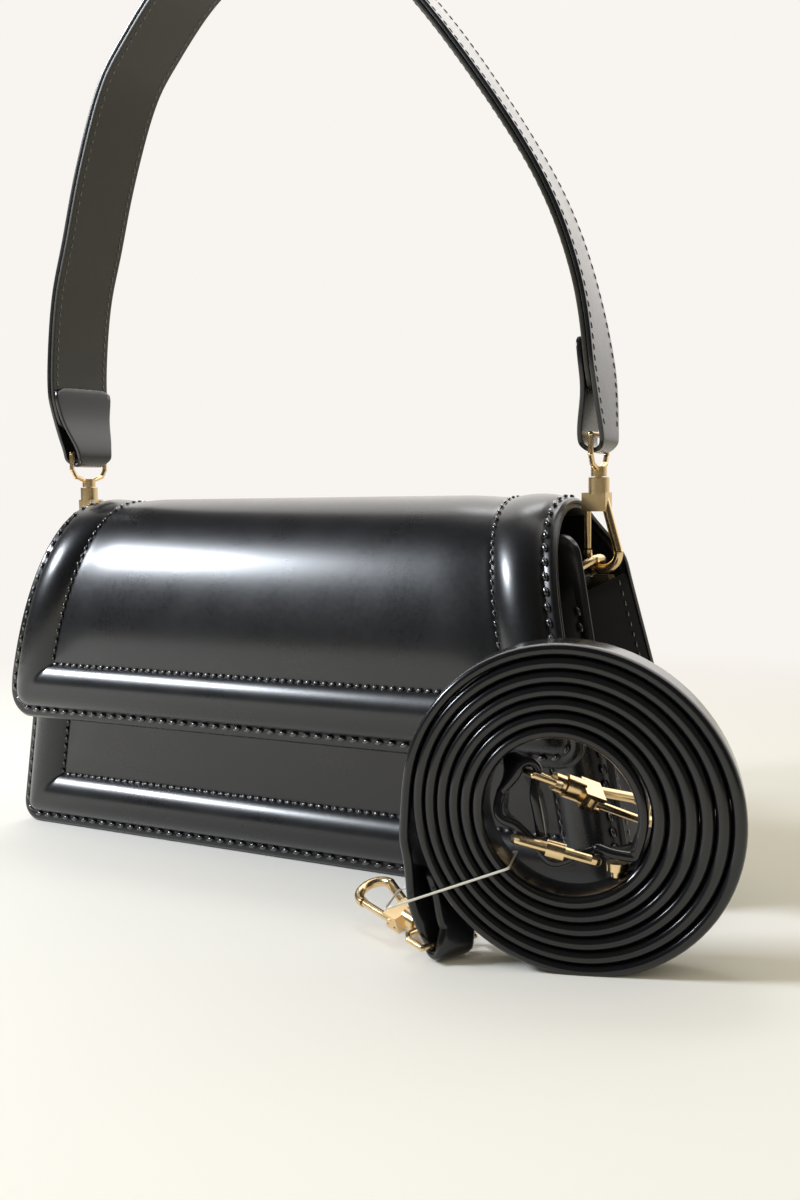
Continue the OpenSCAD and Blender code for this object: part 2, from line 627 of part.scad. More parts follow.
module strap_lining() color(LINING) {
    rows = [for (k = [1 : len(arch_line) - 2]) if (arch_line[k][1] > loop_z + 9) strap_frame(k)];
    slab([for (g = rows) strap_row(g[0] - g[1] * strap_ply, g[2], strap_width(g[0][2]))],
        [for (g = rows) strap_row(g[0] - g[1] * ply_gap, g[2], strap_width(g[0][2]))]);
}

// Coil, in its own frame: x to the right, y away from its front face, z up
coil_place = [148, -90.7, 0];
coil_yaw = 20;
start_a = -20;
ring_steps = 24;
coil_x = -9.7;
module in_coil() translate(coil_place) rotate([0, 0, coil_yaw]) children();
function wind(n) = let (
        a = start_a + 360 * n,
        r = (start_r + turn_step * n) * (1 + sag * cos(2 * (a - sag_a))))
    [coil_x + turn_drift * n + r * cos(a), r * sin(a)];
wound = [for (i = [0 : ring_steps * turns]) wind(i / ring_steps)];
coil_z = cross_t / 2 - foot_cut - min([for (p = wound) p[1]]);
winding = [for (p = wound) p + [0, coil_z]];
// Least gap of the winding to itself, from each of its points to those about one turn further on
function gap_at(i) = min([for (k = [i + ring_steps - 3 : i + ring_steps + 3]) if (k + 1 < len(winding))
    let (a = winding[k], e = winding[k + 1] - a, s = min(1, max(0, (winding[i] - a) * e / (e * e))))
    norm(winding[i] - a - e * s)]) - cross_t;
echo(least_gap = min([for (i = [0 : len(winding) - ring_steps - 5]) gap_at(i)]));

// Eye bars of the two crossbody clasps, with the way from each bar to the clasp's tip
inner_bar = [-21.5, cross_w / 2, 54.5];
inner_way = unit([0.82, 0.42, -0.38]);
outer_bar = [-42.5, cross_w / 2, 4.8];
outer_way = unit([-0.73, 0.67, 0.13]);
function level_bar(way) = unit([-way[1], way[0], 0] * (way[0] > 0 ? 1 : -1));
inner_axis = level_bar(inner_way);
outer_axis = level_bar(outer_way);
bar_play = 0.7;
round_r = eye_wire_d / 2 + bar_play + cross_t / 2;
// The slider's own directions: along the strap, across it and up
slider_mid = [-12.4, cross_w / 2, 32.3];
slider_along = unit([0.976, 0.048, -0.252]);
slider_deep = unit([-0.107, 0.963, -0.23]);
slider_up = cross(slider_along, slider_deep);
bar_out = slider_l / 2 - slider_d / 2;
pass = slider_d / 2 + cross_t / 2 + 0.5;
function deep(p) = [p[0], cross_w / 2, p[1]];
function round_bar(bar, axis, way, from, to) = let (side = unit(cross(axis, way))) [
    for (k = [0 : 6]) let (a = mix(from, to, k / 6)) bar + round_r * (cos(a) * side + sin(a) * way)];
// Rows of the strap: [middle, width direction, width], from the inner end to the outer end
module strap_tube(rows) {
    mids = [for (r = rows) r[0]];
    skin([for (i = [0 : len(rows) - 1]) let (
            t = along(mids, i), w = rows[i][1], n = unit(cross(t, w)), v = cross(n, t),
            a = rows[i][2] / 2, c = min(cross_t / 2, a), h = cross_t / 2, m = mids[i])
        [m - v * a, m - v * (a - c) + n * h, m + v * (a - c) + n * h,
         m + v * a, m + v * (a - c) - n * h, m - v * (a - c) - n * h]]);
}

function in_slider_at(a, u) = slider_mid + slider_along * a + slider_up * u;
slider_pass = [in_slider_at(-bar_out, pass), in_slider_at(-bar_out / 2, 0), in_slider_at(0, -pass),
    in_slider_at(bar_out / 2, 0), in_slider_at(bar_out, pass)];
function inner_rows() = let (
        y = [0, 1, 0],
        loop = round_bar(inner_bar, inner_axis, inner_way, 90, 285),
        tail = curve([[-15.6, 36.5], [-16.4, 42], [-17.6, 48]], 3),
        wall = curve(concat([for (p = [[-26.2, 50], [-27.3, 45.5], [-26.6, 41.6]]) deep(p)], slider_pass,
            [for (p = [[4, 32.2], [9, 32.6], winding[0] - [0.9, 2.4]]) deep(p)]), 4),
        turned = function(k) ease((k - 4) / 8) * ease((len(wall) - 3 - k) / 8))
    concat(
        [for (p = tail) [deep(p), y, cross_end_w]],
        [for (p = loop) [p, inner_axis, cross_end_w]],
        [for (k = [0 : len(wall) - 1])
            [wall[k], unit(mix(y, slider_deep, turned(k))), mix(cross_end_w, cross_w, ease(k / 8))]]);
function outer_rows() = let (
        y = [0, 1, 0],
        leave = curve([[-53.6, 36], [-51.9, 28], [-49.4, 18], [-47, 11.5]], 3),
        loop = round_bar(outer_bar, outer_axis, outer_way, 75, 270),
        tail = curve([[-39.8, 9.5], [-42.4, 15], [-45, 20.5], [-47.2, 26.5]], 3))
    concat(
        [for (k = [0 : len(leave) - 1]) let (s = ease((k - 2) / 7))
            [deep(leave[k]), unit(mix(y, outer_axis, s)), mix(cross_w, cross_end_w, s)]],
        [for (p = loop) [p, outer_axis, cross_end_w]],
        [for (k = [0 : len(tail) - 1]) [deep(tail[k]), unit(mix(outer_axis, y, ease(k / 7))), cross_end_w]]);
module crossbody_strap() color(BLACK) in_coil() difference() {
    strap_tube(concat(inner_rows(), [for (p = winding) [deep(p), [0, 1, 0], cross_w]], outer_rows()));
    translate([-big / 2, -big / 2, -big]) cube([big, big, big]);
}

// Slider: a wire frame round the strap with a middle bar, whose ends are rolled round the frame
module in_slider() in_coil() multmatrix([
    for (k = [0 : 2]) [slider_along[k], slider_deep[k], slider_up[k], slider_mid[k]]]) children();
slider_w = cross_w + slider_d + 0.8;
slider_bend = 3.2;
slider_sides = 12;
module slider_frame() color(GOLD) in_slider() {
    corners = [[1, 1], [-1, 1], [-1, -1], [1, -1]];
    way = [for (c = [0 : 3]) for (a = [0 : 22.5 : 90]) let (
            q = corners[c], b = a + 90 * c,
            mid = [q[0] * (bar_out - slider_bend), q[1] * (slider_w / 2 - slider_bend)])
        [mid, [cos(b), sin(b)]]];
    n = slider_sides;
    m = len(way);
    points = [for (w = way) for (k = [0 : n - 1]) let (
            a = 360 * (k + 0.5) / n,
            q = w[0] + w[1] * (slider_bend + slider_d / 2 * cos(a)))
        [q[0], q[1], slider_d / 2 * sin(a)]];
    faces = [for (i = [0 : m - 1]) for (j = [0 : n - 1]) let (
            k = (j + 1) % n, a = i * n, b = ((i + 1) % m) * n) each [
        [a + j, a + k, b + k],
        [a + j, b + k, b + j]]];
    polyhedron(points, faces, convexity = 4);
}
module slider_bar() color(GOLD) in_slider() {
    wire([0, -slider_w / 2 + slider_d / 2, 0], [0, slider_w / 2 - slider_d / 2, 0], slider_d - 0.6);
    for (s = [-1, 1]) translate([0, s * slider_w / 2, 0]) rotate([0, 90, 0]) difference() {
        cylinder(h = 5, r = slider_d / 2 + 1.1, center = true);
        cylinder(h = 6, r = slider_d / 2 + fit, center = true);
    }
}
module strap_stud() color(GOLD) in_coil() translate([4.6, cross_w / 2, 0]) {
    translate([0, 0, 27.3]) cylinder(h = 2.2, d = 6);
    translate([0, 0, 25.5]) cylinder(h = 2, d = 3.4);
}
tie_from = [-58.6, 16.2];
tie_to = [-24.2, 29];
module winding_tie() color(THREAD) in_coil() {
    a = deep(tie_from);
    b = deep(tie_to);
    back = [0, cross_w / 2 + 0.9, 0];
    for (s = [-1, 1]) {
        wire(a + s * back, b + s * back, thread_d);
        translate(a + s * back) sphere(d = thread_d + knuckle);
        translate(b + s * back) sphere(d = thread_d + knuckle);
    }
    wire(a - back, a + back, thread_d);
    wire(b - back, b + back, thread_d);
}

// Clasp on a bar: the clasp's Y lies along the bar and its -Z along the way, the hook turned about the way
module on_bar(bar, axis, way, turn = 0) {
    x = cross(axis, -way);
    in_coil() multmatrix([
        [x[0], axis[0], -way[0], bar[0] + way[0] * eye_h],
        [x[1], axis[1], -way[1], bar[1] + way[1] * eye_h],
        [x[2], axis[2], -way[2], bar[2] + way[2] * eye_h],
        [0, 0, 0, 1]]) rotate([0, 0, turn]) children();
}
inner_turn = 65;
outer_turn = 112;
module at_inner(turn = 0) on_bar(inner_bar, inner_axis, inner_way, turn) children();
module at_outer(turn = 0) on_bar(outer_bar, outer_axis, outer_way, turn) children();
module inner_eye() color(GOLD) at_inner() eye();
module inner_hook() color(GOLD) at_inner(inner_turn) hook();
module inner_gate() color(GOLD) at_inner(inner_turn) gate();
module inner_gate_pin() color(STEEL) at_inner(inner_turn) gate_pin();
module outer_eye() color(GOLD) at_outer() eye();
module outer_hook() color(GOLD) at_outer(outer_turn) hook();
module outer_gate() color(GOLD) at_outer(outer_turn) gate();
module outer_gate_pin() color(STEEL) at_outer(outer_turn) gate_pin();

base_panel();
base_board();
front_panel();
front_board();
front_frame();
back_panel();
back_board();
left_gusset();
right_gusset();
body_lining();
left_ring_tab();
right_ring_tab();
left_ring();
right_ring();
flap_panel();
flap_board();
flap_lining();
flap_frame();
snap_socket();
snap_socket_washer();
snap_stud();
snap_stud_washer();
strap_outer();
strap_lining();
left_eye();
left_hook();
left_gate();
left_gate_pin();
right_eye();
right_hook();
right_gate();
right_gate_pin();
crossbody_strap();
slider_frame();
slider_bar();
strap_stud();
winding_tie();
inner_eye();
inner_hook();
inner_gate();
inner_gate_pin();
outer_eye();
outer_hook();
outer_gate();
outer_gate_pin();
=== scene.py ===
"""Looks of the baguette bag: smooth leather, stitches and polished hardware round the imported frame.

Sizes are in millimetres. They become metres where a mesh is finished.
"""

from __future__ import annotations

import json
import logging
import math
from dataclasses import dataclass, field
from enum import Enum
from typing import Any, Callable, Sequence

import bmesh
import bpy
from mathutils import Matrix, Vector

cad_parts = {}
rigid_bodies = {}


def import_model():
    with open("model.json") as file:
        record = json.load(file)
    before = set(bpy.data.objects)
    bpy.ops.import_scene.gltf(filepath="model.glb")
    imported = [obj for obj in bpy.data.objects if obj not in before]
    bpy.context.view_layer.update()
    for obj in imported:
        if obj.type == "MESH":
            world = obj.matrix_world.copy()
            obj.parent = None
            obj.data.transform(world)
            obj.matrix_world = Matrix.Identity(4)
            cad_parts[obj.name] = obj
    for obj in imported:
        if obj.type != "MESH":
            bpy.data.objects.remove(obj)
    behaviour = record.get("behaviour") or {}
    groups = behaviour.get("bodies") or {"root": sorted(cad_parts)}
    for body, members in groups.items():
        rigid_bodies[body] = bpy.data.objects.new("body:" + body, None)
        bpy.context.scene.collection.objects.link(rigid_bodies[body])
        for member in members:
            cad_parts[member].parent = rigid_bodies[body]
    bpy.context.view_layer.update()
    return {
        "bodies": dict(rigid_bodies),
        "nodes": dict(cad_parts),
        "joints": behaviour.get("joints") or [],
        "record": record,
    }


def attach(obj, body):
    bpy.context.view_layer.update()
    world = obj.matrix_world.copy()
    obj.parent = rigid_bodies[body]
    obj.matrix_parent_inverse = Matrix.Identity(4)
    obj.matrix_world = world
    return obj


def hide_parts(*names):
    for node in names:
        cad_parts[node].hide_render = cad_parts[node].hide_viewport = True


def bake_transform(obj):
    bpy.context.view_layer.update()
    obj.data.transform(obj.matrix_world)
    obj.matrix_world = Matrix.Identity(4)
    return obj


LOG = logging.getLogger("bag")
MM = 0.001
# Rolled rim of a leather sheet
RIM_RISE = 0.9
RIM_WIDTH = 1.3
RIM_DIP = 0.75


# Numbers and points


def mix(a: Any, b: Any, share: float) -> Any:
    """Value or point that lies a share of the way from a to b."""
    return a + (b - a) * share


def ease(x: float) -> float:
    """Smooth step from 0 to 1 while x goes from 0 to 1."""
    c = min(1.0, max(0.0, x))
    return c * c * (3 - 2 * c)


def turned(degrees: float, radius: float = 1.0) -> tuple[float, float]:
    """Cosine and sine of an angle in degrees, times a radius."""
    return radius * math.cos(math.radians(degrees)), radius * math.sin(math.radians(degrees))


def catmull(points: Sequence[Vector], steps: int) -> list[Vector]:
    """Catmull-Rom curve through points.

    Args:
        points: the points that the curve passes through.
        steps: how many parts each stretch gets.

    Returns:
        The points of the curve.
    """
    last = len(points) - 1
    found = []
    for i in range(last):
        a, b = points[max(i - 1, 0)], points[i]
        c, d = points[i + 1], points[min(i + 2, last)]
        for k in range(steps):
            t = k / steps
            square = (2 * a - 5 * b + 4 * c - d) * t**2
            cube = (3 * b - a - 3 * c + d) * t**3
            found.append(0.5 * (2 * b + (c - a) * t + square + cube))
    return [*found, points[last]]


def drawn_in(d: float, radius: float) -> float:
    """How far a rounded corner draws an outline in at a distance from its end."""
    if d >= radius:
        return 0.0
    return radius - math.sqrt(max(0.0, radius**2 - (radius - d) ** 2))


def rim(d: float) -> float:
    """Height of a sheet near its outline, where its rolled rim dips."""
    return RIM_RISE * ease(d / RIM_WIDTH) - RIM_DIP


def along(points: Sequence[Vector], i: int) -> Vector:
    """Direction of a row of points at one of them."""
    return (points[min(i + 1, len(points) - 1)] - points[max(i - 1, 0)]).normalized()


class Profile:
    """Side view of a sheet: points (y, z) with their length from the first, and normals that point out."""

    def __init__(self, points: Sequence[tuple[float, float] | Vector]) -> None:
        """Counts the lengths and works out the normals.

        Args:
            points: the side view, with the outer side on the left of its direction.
        """
        self.points = [Vector(p) for p in points]
        self.marks = [0.0]
        for a, b in zip(self.points, self.points[1:]):
            self.marks.append(self.marks[-1] + (b - a).length)
        ways = [along(self.points, i) for i in range(len(self.points))]
        self.normals = [Vector((-t[1], t[0])) for t in ways]

    @property
    def length(self) -> float:
        """Length of the whole side view."""
        return self.marks[-1]

    def at(self, s: float) -> tuple[Vector, Vector]:
        """Point and outward normal at a length from the start."""
        i = 0
        while i < len(self.marks) - 2 and self.marks[i + 1] < s:
            i += 1
        share = (s - self.marks[i]) / (self.marks[i + 1] - self.marks[i])
        point = mix(self.points[i], self.points[i + 1], share)
        inside = min(1.0, max(0.0, share))
        return point, mix(self.normals[i], self.normals[i + 1], inside).normalized()

    def mark_of(self, test: Callable[[Vector], bool]) -> float:
        """Length at the first point that passes a test."""
        return next(m for m, p in zip(self.marks, self.points) if test(p))


# Shared sizes of the bag


@dataclass(frozen=True)
class BagForm:
    """Main sizes of the bag, as in the frame's source."""

    height: float = 129.0
    base_w: float = 270.0
    top_w: float = 226.0
    base_d: float = 64.0
    crest_in: float = 20.0
    back_round_z: float = 104.0
    back_reach: float = 18.5
    corner_r: float = 9.0
    hem_z: float = 45.5
    hem_w: float = 252.0
    crest_w: float = 212.8
    flap_stand: float = 15.3
    round_z: float = 62.0
    fullness: float = 2.28
    hem_tuck: float = 1.8
    hem_r: float = 12.0
    hinge_a: float = 27.0
    leather: float = 1.4
    board: float = 1.2
    lining: float = 0.8
    gap: float = 0.05

    @property
    def front_y(self) -> float:
        """Depth of the front panel's outer face."""
        return -self.base_d / 2

    @property
    def crest_y(self) -> float:
        """Depth of the crest line."""
        return self.front_y + self.crest_in

    @property
    def hinge(self) -> tuple[float, float]:
        """Depth and height of the flap's hinge line."""
        c, s = turned(self.hinge_a)
        return self.crest_y + self.back_reach * s, self.back_round_z + (self.height - self.back_round_z) * c

    def body_half(self, z: float) -> float:
        """Half of the body's width at a height."""
        return self.base_w / 2 - (self.base_w - self.top_w) / 2 * z / self.height

    def flap_half(self, z: float) -> float:
        """Half of the flap's width at a height."""
        taper = (self.hem_w - self.crest_w) / 2
        return self.hem_w / 2 - taper * (z - self.hem_z) / (self.height - self.hem_z)

    def flap_face(self, step: float) -> list[Vector]:
        """Side view of the flap's face from the hem to the crest, a point at each step of degrees."""
        reach = self.flap_stand + self.crest_in
        rise = self.height - self.round_z
        points = [Vector((self.front_y - self.flap_stand + self.hem_tuck, self.hem_z))]
        points.append(mix(points[0], Vector((self.crest_y - reach, self.round_z)), 0.5))
        for k in range(int(90 / step) + 1):
            c, s = turned(k * step)
            power = 2 / self.fullness
            y = self.crest_y - reach * max(c, 0.0) ** power
            points.append(Vector((y, self.round_z + rise * s**power)))
        return points

    def back_face(self, start: float, steps: int) -> list[Vector]:
        """Side view from an angle past the crest down the back to the base."""
        rise = self.height - self.back_round_z
        points = []
        for k in range(steps + 1):
            c, s = turned(mix(start, 90.0, k / steps))
            points.append(Vector((self.crest_y + self.back_reach * s, self.back_round_z + rise * c)))
        foot = Vector((self.base_d / 2, 0.0))
        return points + [mix(points[-1], foot, k / 8) for k in range(1, 9)]


FORM = BagForm()
CLASP_X = FORM.crest_w / 2 + 6.6
STRAP_Y = -10.5
RING_Z = 109.2
BAR_X, BAR_Z = 104.574, 102.129


# Meshes


class Side(Enum):
    """Left or right of the bag, seen from the front."""

    LEFT = -1
    RIGHT = 1

    @property
    def word(self) -> str:
        """The name that the frame's nodes use."""
        return self.name.lower()


@dataclass(frozen=True)
class Skin:
    """How a finished sheet or tube is thickened and smoothed."""

    thick: float = 0.0
    levels: int = 1
    offset: float = -1.0
    edge: "Finish | None" = None


def finished(bm: bmesh.types.BMesh, name: str, skin: Skin, finish: "Finish") -> bpy.types.Object:
    """Makes an object from a mesh in millimetres.

    Args:
        bm: the mesh, which is freed.
        name: the piece's name.
        skin: its thickness and smoothing.
        finish: its material.

    Returns:
        The piece, at the origin and in metres.
    """
    bmesh.ops.scale(bm, vec=(MM, MM, MM), verts=bm.verts)
    for face in bm.faces:
        face.smooth = True
    mesh = bpy.data.meshes.new(name)
    bm.to_mesh(mesh)
    bm.free()
    piece = bpy.data.objects.new(name, mesh)
    bpy.context.scene.collection.objects.link(piece)
    if skin.thick:
        solid = piece.modifiers.new("thickness", "SOLIDIFY")
        solid.thickness = skin.thick * MM
        solid.offset = skin.offset
        solid.use_even_offset = True
        solid.material_offset_rim = 1 if skin.edge else 0
    if skin.levels:
        smooth = piece.modifiers.new("smooth", "SUBSURF")
        smooth.levels = smooth.render_levels = skin.levels
    mesh.materials.append(finish.material())
    if skin.edge:
        mesh.materials.append(skin.edge.material())
    return piece


def sheet_mesh(
    rows: int, cols: int, place: Callable[[int, int], Vector], inside: Vector
) -> bmesh.types.BMesh:
    """Open sheet from a grid whose points are placed one by one.

    Args:
        rows: parts along the sheet.
        cols: parts across the sheet.
        place: gives a point's place from its row and column.
        inside: a point that the sheet's outer side looks away from.

    Returns:
        The sheet, with faces that point out.
    """
    bm = bmesh.new()
    bm.loops.layers.uv.new("across_along")
    bmesh.ops.create_grid(bm, x_segments=cols, y_segments=rows, size=0.5, calc_uvs=True)
    for vert in bm.verts:
        col, row = round((vert.co.x + 0.5) * cols), round((vert.co.y + 0.5) * rows)
        vert.co = place(row, col)
    bm.normal_update()
    out = sum(f.normal.dot(f.calc_center_median() - inside) * f.calc_area() for f in bm.faces)
    if out < 0:
        bmesh.ops.reverse_faces(bm, faces=bm.faces)
    return bm


# Angles round one edge of a strap, in degrees
EDGE_TURN = (-90, -60, -30, 0, 30, 60, 90)
# Places between the edges, as shares of the flat part
FLAT_SHARES = (0.8, 0.35, -0.35, -0.8)
# Swell of a strap's face, as a share of half its thickness
CROWN = 0.05


@dataclass
class StrapRow:
    """One place along a strap: its middle, the directions across it and out of its face, and its size."""

    middle: Vector
    across: Vector
    face: Vector
    width: float
    thick: float


def tube_mesh(rows: Sequence[Sequence[Vector]]) -> bmesh.types.BMesh:
    """Closed tube through rings with the same number of points."""
    count = len(rows[0])
    bm = bmesh.new()
    bm.loops.layers.uv.new("across_along")
    bmesh.ops.create_grid(bm, x_segments=count, y_segments=len(rows) - 1, size=0.5, calc_uvs=True)
    for vert in bm.verts:
        col, row = round((vert.co.x + 0.5) * count), round((vert.co.y + 0.5) * (len(rows) - 1))
        vert.co = rows[row][col % count]
    bmesh.ops.remove_doubles(bm, verts=bm.verts, dist=1e-5)
    bmesh.ops.holes_fill(bm, edges=[e for e in bm.edges if e.is_boundary], sides=0)
    bmesh.ops.recalc_face_normals(bm, faces=bm.faces)
    return bm


def strap_ring(row: StrapRow, edge: float, power: float) -> list[Vector]:
    """Points round a strap at one of its rows.

    Args:
        row: the place, which also gives the width and the thickness.
        edge: depth of the rounded edge, as a share of half the thickness.
        power: 2 for a round edge, more for a squarer one.

    Returns:
        The ring, from one edge over the face to the other edge and back.
    """
    half, deep = row.width / 2, row.thick / 2 * edge
    ring = []
    for way in (1, -1):
        for angle in EDGE_TURN:
            c, s = turned(angle)
            a = half - deep + deep * abs(c) ** (2 / power)
            b = math.copysign(abs(s) ** (2 / power), s)
            ring.append(row.middle + row.across * a * way + row.face * b * way * row.thick / 2)
        for share in FLAT_SHARES:
            crown = 1 + CROWN * (1 - share**2)
            aside = row.across * (half - deep) * share * way
            ring.append(row.middle + aside + row.face * crown * way * row.thick / 2)
    return ring


def strap_mesh(rows: Sequence[StrapRow], edge: float = 0.6, power: float = 3.0) -> bmesh.types.BMesh:
    """Flat strap with rounded edges through its rows."""
    return tube_mesh([strap_ring(row, edge, power) for row in rows])


def wire_mesh(
    path: Sequence[Vector], radius: Callable[[float], float], sides: int = 12
) -> bmesh.types.BMesh:
    """Round wire along a path.

    Args:
        path: the middle line.
        radius: the wire's radius at a share of the path.
        sides: how many sides its section has.

    Returns:
        The wire, closed at both ends.
    """
    rings = []
    side = Vector((0, 0, 1)) if abs(along(path, 0).z) < 0.9 else Vector((1, 0, 0))
    for i, point in enumerate(path):
        way = along(path, i)
        side = (side - way * side.dot(way)).normalized()
        third = way.cross(side)
        r = radius(i / (len(path) - 1))
        spread = [turned(360 * k / sides, r) for k in range(sides)]
        rings.append([point + side * c + third * s for c, s in spread])
    return tube_mesh(rings)


@dataclass(frozen=True)
class Thread:
    """Size of one row of stitches."""

    pitch: float
    share: float = 0.74
    width: float = 1.15
    height: float = 0.95
    slant: float = 13.0


def stitch_row(bm: bmesh.types.BMesh, path: Sequence[tuple[Vector, Vector]], thread: Thread) -> None:
    """Adds a row of stitches to a mesh.

    Args:
        bm: the mesh that takes the stitches.
        path: points of the row, each with the surface's normal.
        thread: sizes of the stitches.
    """
    marks = [0.0]
    for (a, _), (b, _) in zip(path, path[1:]):
        marks.append(marks[-1] + (b - a).length)
    count = max(1, round(marks[-1] / thread.pitch))
    i = 0
    for k in range(count):
        mark = (k + 0.5) * marks[-1] / count
        while i < len(marks) - 2 and marks[i + 1] < mark:
            i += 1
        share = (mark - marks[i]) / max(1e-6, marks[i + 1] - marks[i])
        point = mix(path[i][0], path[i + 1][0], share)
        normal = mix(path[i][1], path[i + 1][1], share).normalized()
        way = (path[i + 1][0] - path[i][0]).normalized()
        way = (way - normal * way.dot(normal)).normalized()
        frame = Matrix((way, normal.cross(way), normal)).transposed().to_4x4()
        frame.translation = point
        frame = frame @ Matrix.Rotation(math.radians(thread.slant), 4, "Z")
        size = Vector((marks[-1] / count * thread.share, thread.width, thread.height))
        bmesh.ops.create_uvsphere(
            bm, u_segments=6, v_segments=5, radius=0.5, matrix=frame @ Matrix.Diagonal(size).to_4x4()
        )


# Node trees


class Num:
    """A number in a node tree. Sums with it add their own Math nodes."""

    def __init__(self, tree: bpy.types.NodeTree, socket: bpy.types.NodeSocket) -> None:
        """Keeps the tree and the socket that gives the number."""
        self.tree = tree
        self.socket = socket

    def _math(self, operation: str, first: Any, second: Any) -> "Num":
        """One Math node on two numbers."""
        node = add_node(self.tree, "ShaderNodeMath", {"operation": operation}, {0: first, 1: second})
        return Num(self.tree, node.outputs[0])

    def __add__(self, other: Any) -> "Num":
        """Sum."""
        return self._math("ADD", self, other)

    __radd__ = __add__

    def __sub__(self, other: Any) -> "Num":
        """Difference."""
        return self._math("SUBTRACT", self, other)

    def __rsub__(self, other: Any) -> "Num":
        """Difference, the other way round."""
        return self._math("SUBTRACT", other, self)

    def __mul__(self, other: Any) -> "Num":
        """Product."""
        return self._math("MULTIPLY", self, other)

    __rmul__ = __mul__

    def __pow__(self, other: Any) -> "Num":
        """Power."""
        return self._math("POWER", self, other)

    def largest(self, other: Any) -> "Num":
        """The larger of two numbers."""
        return self._math("MAXIMUM", self, other)


def add_node(
    tree: bpy.types.NodeTree, kind: str, settings: dict[str, Any], values: dict[Any, Any]
) -> bpy.types.Node:
    """Adds a node.

    Args:
        tree: the node tree.
        kind: the node's type.
        settings: its properties, set first.
        values: constants or links for its inputs, by name or number.

    Returns:
        The node.
    """
    node = tree.nodes.new(kind)
    for name, value in settings.items():
        setattr(node, name, value)
    for key, value in values.items():
        if isinstance(value, Num):
            tree.links.new(value.socket, node.inputs[key])
        elif isinstance(value, bpy.types.NodeSocket):
            tree.links.new(value, node.inputs[key])
        else:
            node.inputs[key].default_value = value
    return node


Colour = tuple[float, float, float]


def rgba(colour: Colour) -> tuple[float, float, float, float]:
    """A colour with full alpha."""
    return (*colour, 1.0)


class Finish:
    """A material that is made once, when a piece first asks for it."""

    name = "finish"

    def material(self) -> bpy.types.Material:
        """The Blender material of this finish."""
        found = bpy.data.materials.get(self.name)
        if found:
            return found
        made = bpy.data.materials.new(self.name)
        made.use_nodes = True
        self.tree = made.node_tree
        self.shader = self.tree.nodes["Principled BSDF"]
        self.dress()
        return made

    def dress(self) -> None:
        """Sets the shader's sockets. Each finish has its own."""

    def coords(self, stretch: Colour = (1.0, 1.0, 1.0)) -> bpy.types.NodeSocket:
        """Object coordinates in metres, stretched."""
        out = add_node(self.tree, "ShaderNodeTexCoord", {}, {}).outputs["Object"]
        return add_node(self.tree, "ShaderNodeMapping", {}, {"Vector": out, "Scale": stretch}).outputs[0]

    def noise(self, vector: bpy.types.NodeSocket, scale: float, detail: float = 3.0) -> Num:
        """Noise between 0 and 1."""
        values = {"Vector": vector, "Scale": scale, "Detail": detail}
        return Num(self.tree, add_node(self.tree, "ShaderNodeTexNoise", {}, values).outputs[0])

    def cells(self, vector: bpy.types.NodeSocket, scale: float) -> Num:
        """Distance to the border of cells, for pores and grain."""
        settings = {"feature": "DISTANCE_TO_EDGE"}
        values = {"Vector": vector, "Scale": scale}
        return Num(self.tree, add_node(self.tree, "ShaderNodeTexVoronoi", settings, values).outputs[0])

    def colour(self, factor: Any, first: Colour, second: Colour) -> None:
        """Links a mix of two colours to the base colour."""
        values = {0: factor, 6: rgba(first), 7: rgba(second)}
        node = add_node(self.tree, "ShaderNodeMix", {"data_type": "RGBA"}, values)
        self.tree.links.new(node.outputs[2], self.shader.inputs["Base Color"])

    def rough(self, number: Num) -> None:
        """Links a number to the roughness."""
        self.tree.links.new(number.socket, self.shader.inputs["Roughness"])

    def bumps(self, layers: Sequence[tuple[Num, float, float]]) -> None:
        """Bump nodes in a row: a height, its strength and its depth in millimetres for each."""
        last = None
        for height, strength, depth in layers:
            values = {"Height": height, "Strength": strength, "Distance": depth * MM}
            if last is not None:
                values["Normal"] = last
            last = add_node(self.tree, "ShaderNodeBump", {}, values).outputs[0]
        self.tree.links.new(last, self.shader.inputs["Normal"])

    def set(self, **values: Any) -> None:
        """Constants on the shader's sockets, with _ for a space."""
        for name, value in values.items():
            self.shader.inputs[name.replace("_", " ")].default_value = value


@dataclass
class Calf(Finish):
    """Smooth leather: its two colours, roughness, grain and waves in millimetres, coat and gloss."""

    name: str = "polished_calf"
    dark: Colour = (0.004, 0.0043, 0.0056)
    light: Colour = (0.0095, 0.0102, 0.013)
    low: float = 0.24
    spread: float = 0.14
    grain: float = 0.1
    coat: float = 0.3
    coat_rough: float = 0.2
    wave: float = 0.16
    gloss: float = 0.5

    def dress(self) -> None:
        """Fine pores, soft cloudy gloss and slight waves of the hide."""
        place = self.coords()
        cloud = self.noise(place, 46, 3)
        speck = self.noise(place, 620, 2)
        pores = self.cells(place, 800)
        wear = (cloud * 0.75 + speck * 0.35) ** 1.6
        self.colour(wear, self.dark, self.light)
        self.rough(cloud * self.spread + speck * 0.07 + (self.low - 0.05))
        self.bumps(
            (
                (self.noise(place, 17, 1), 1.0, self.wave),
                (self.noise(place, 260, 2), 0.3, self.grain * 0.4),
                (pores, 0.03, self.grain * 0.4),
            )
        )
        self.set(Coat_Weight=self.coat, Coat_Roughness=self.coat_rough)
        self.set(Specular_IOR_Level=self.gloss)


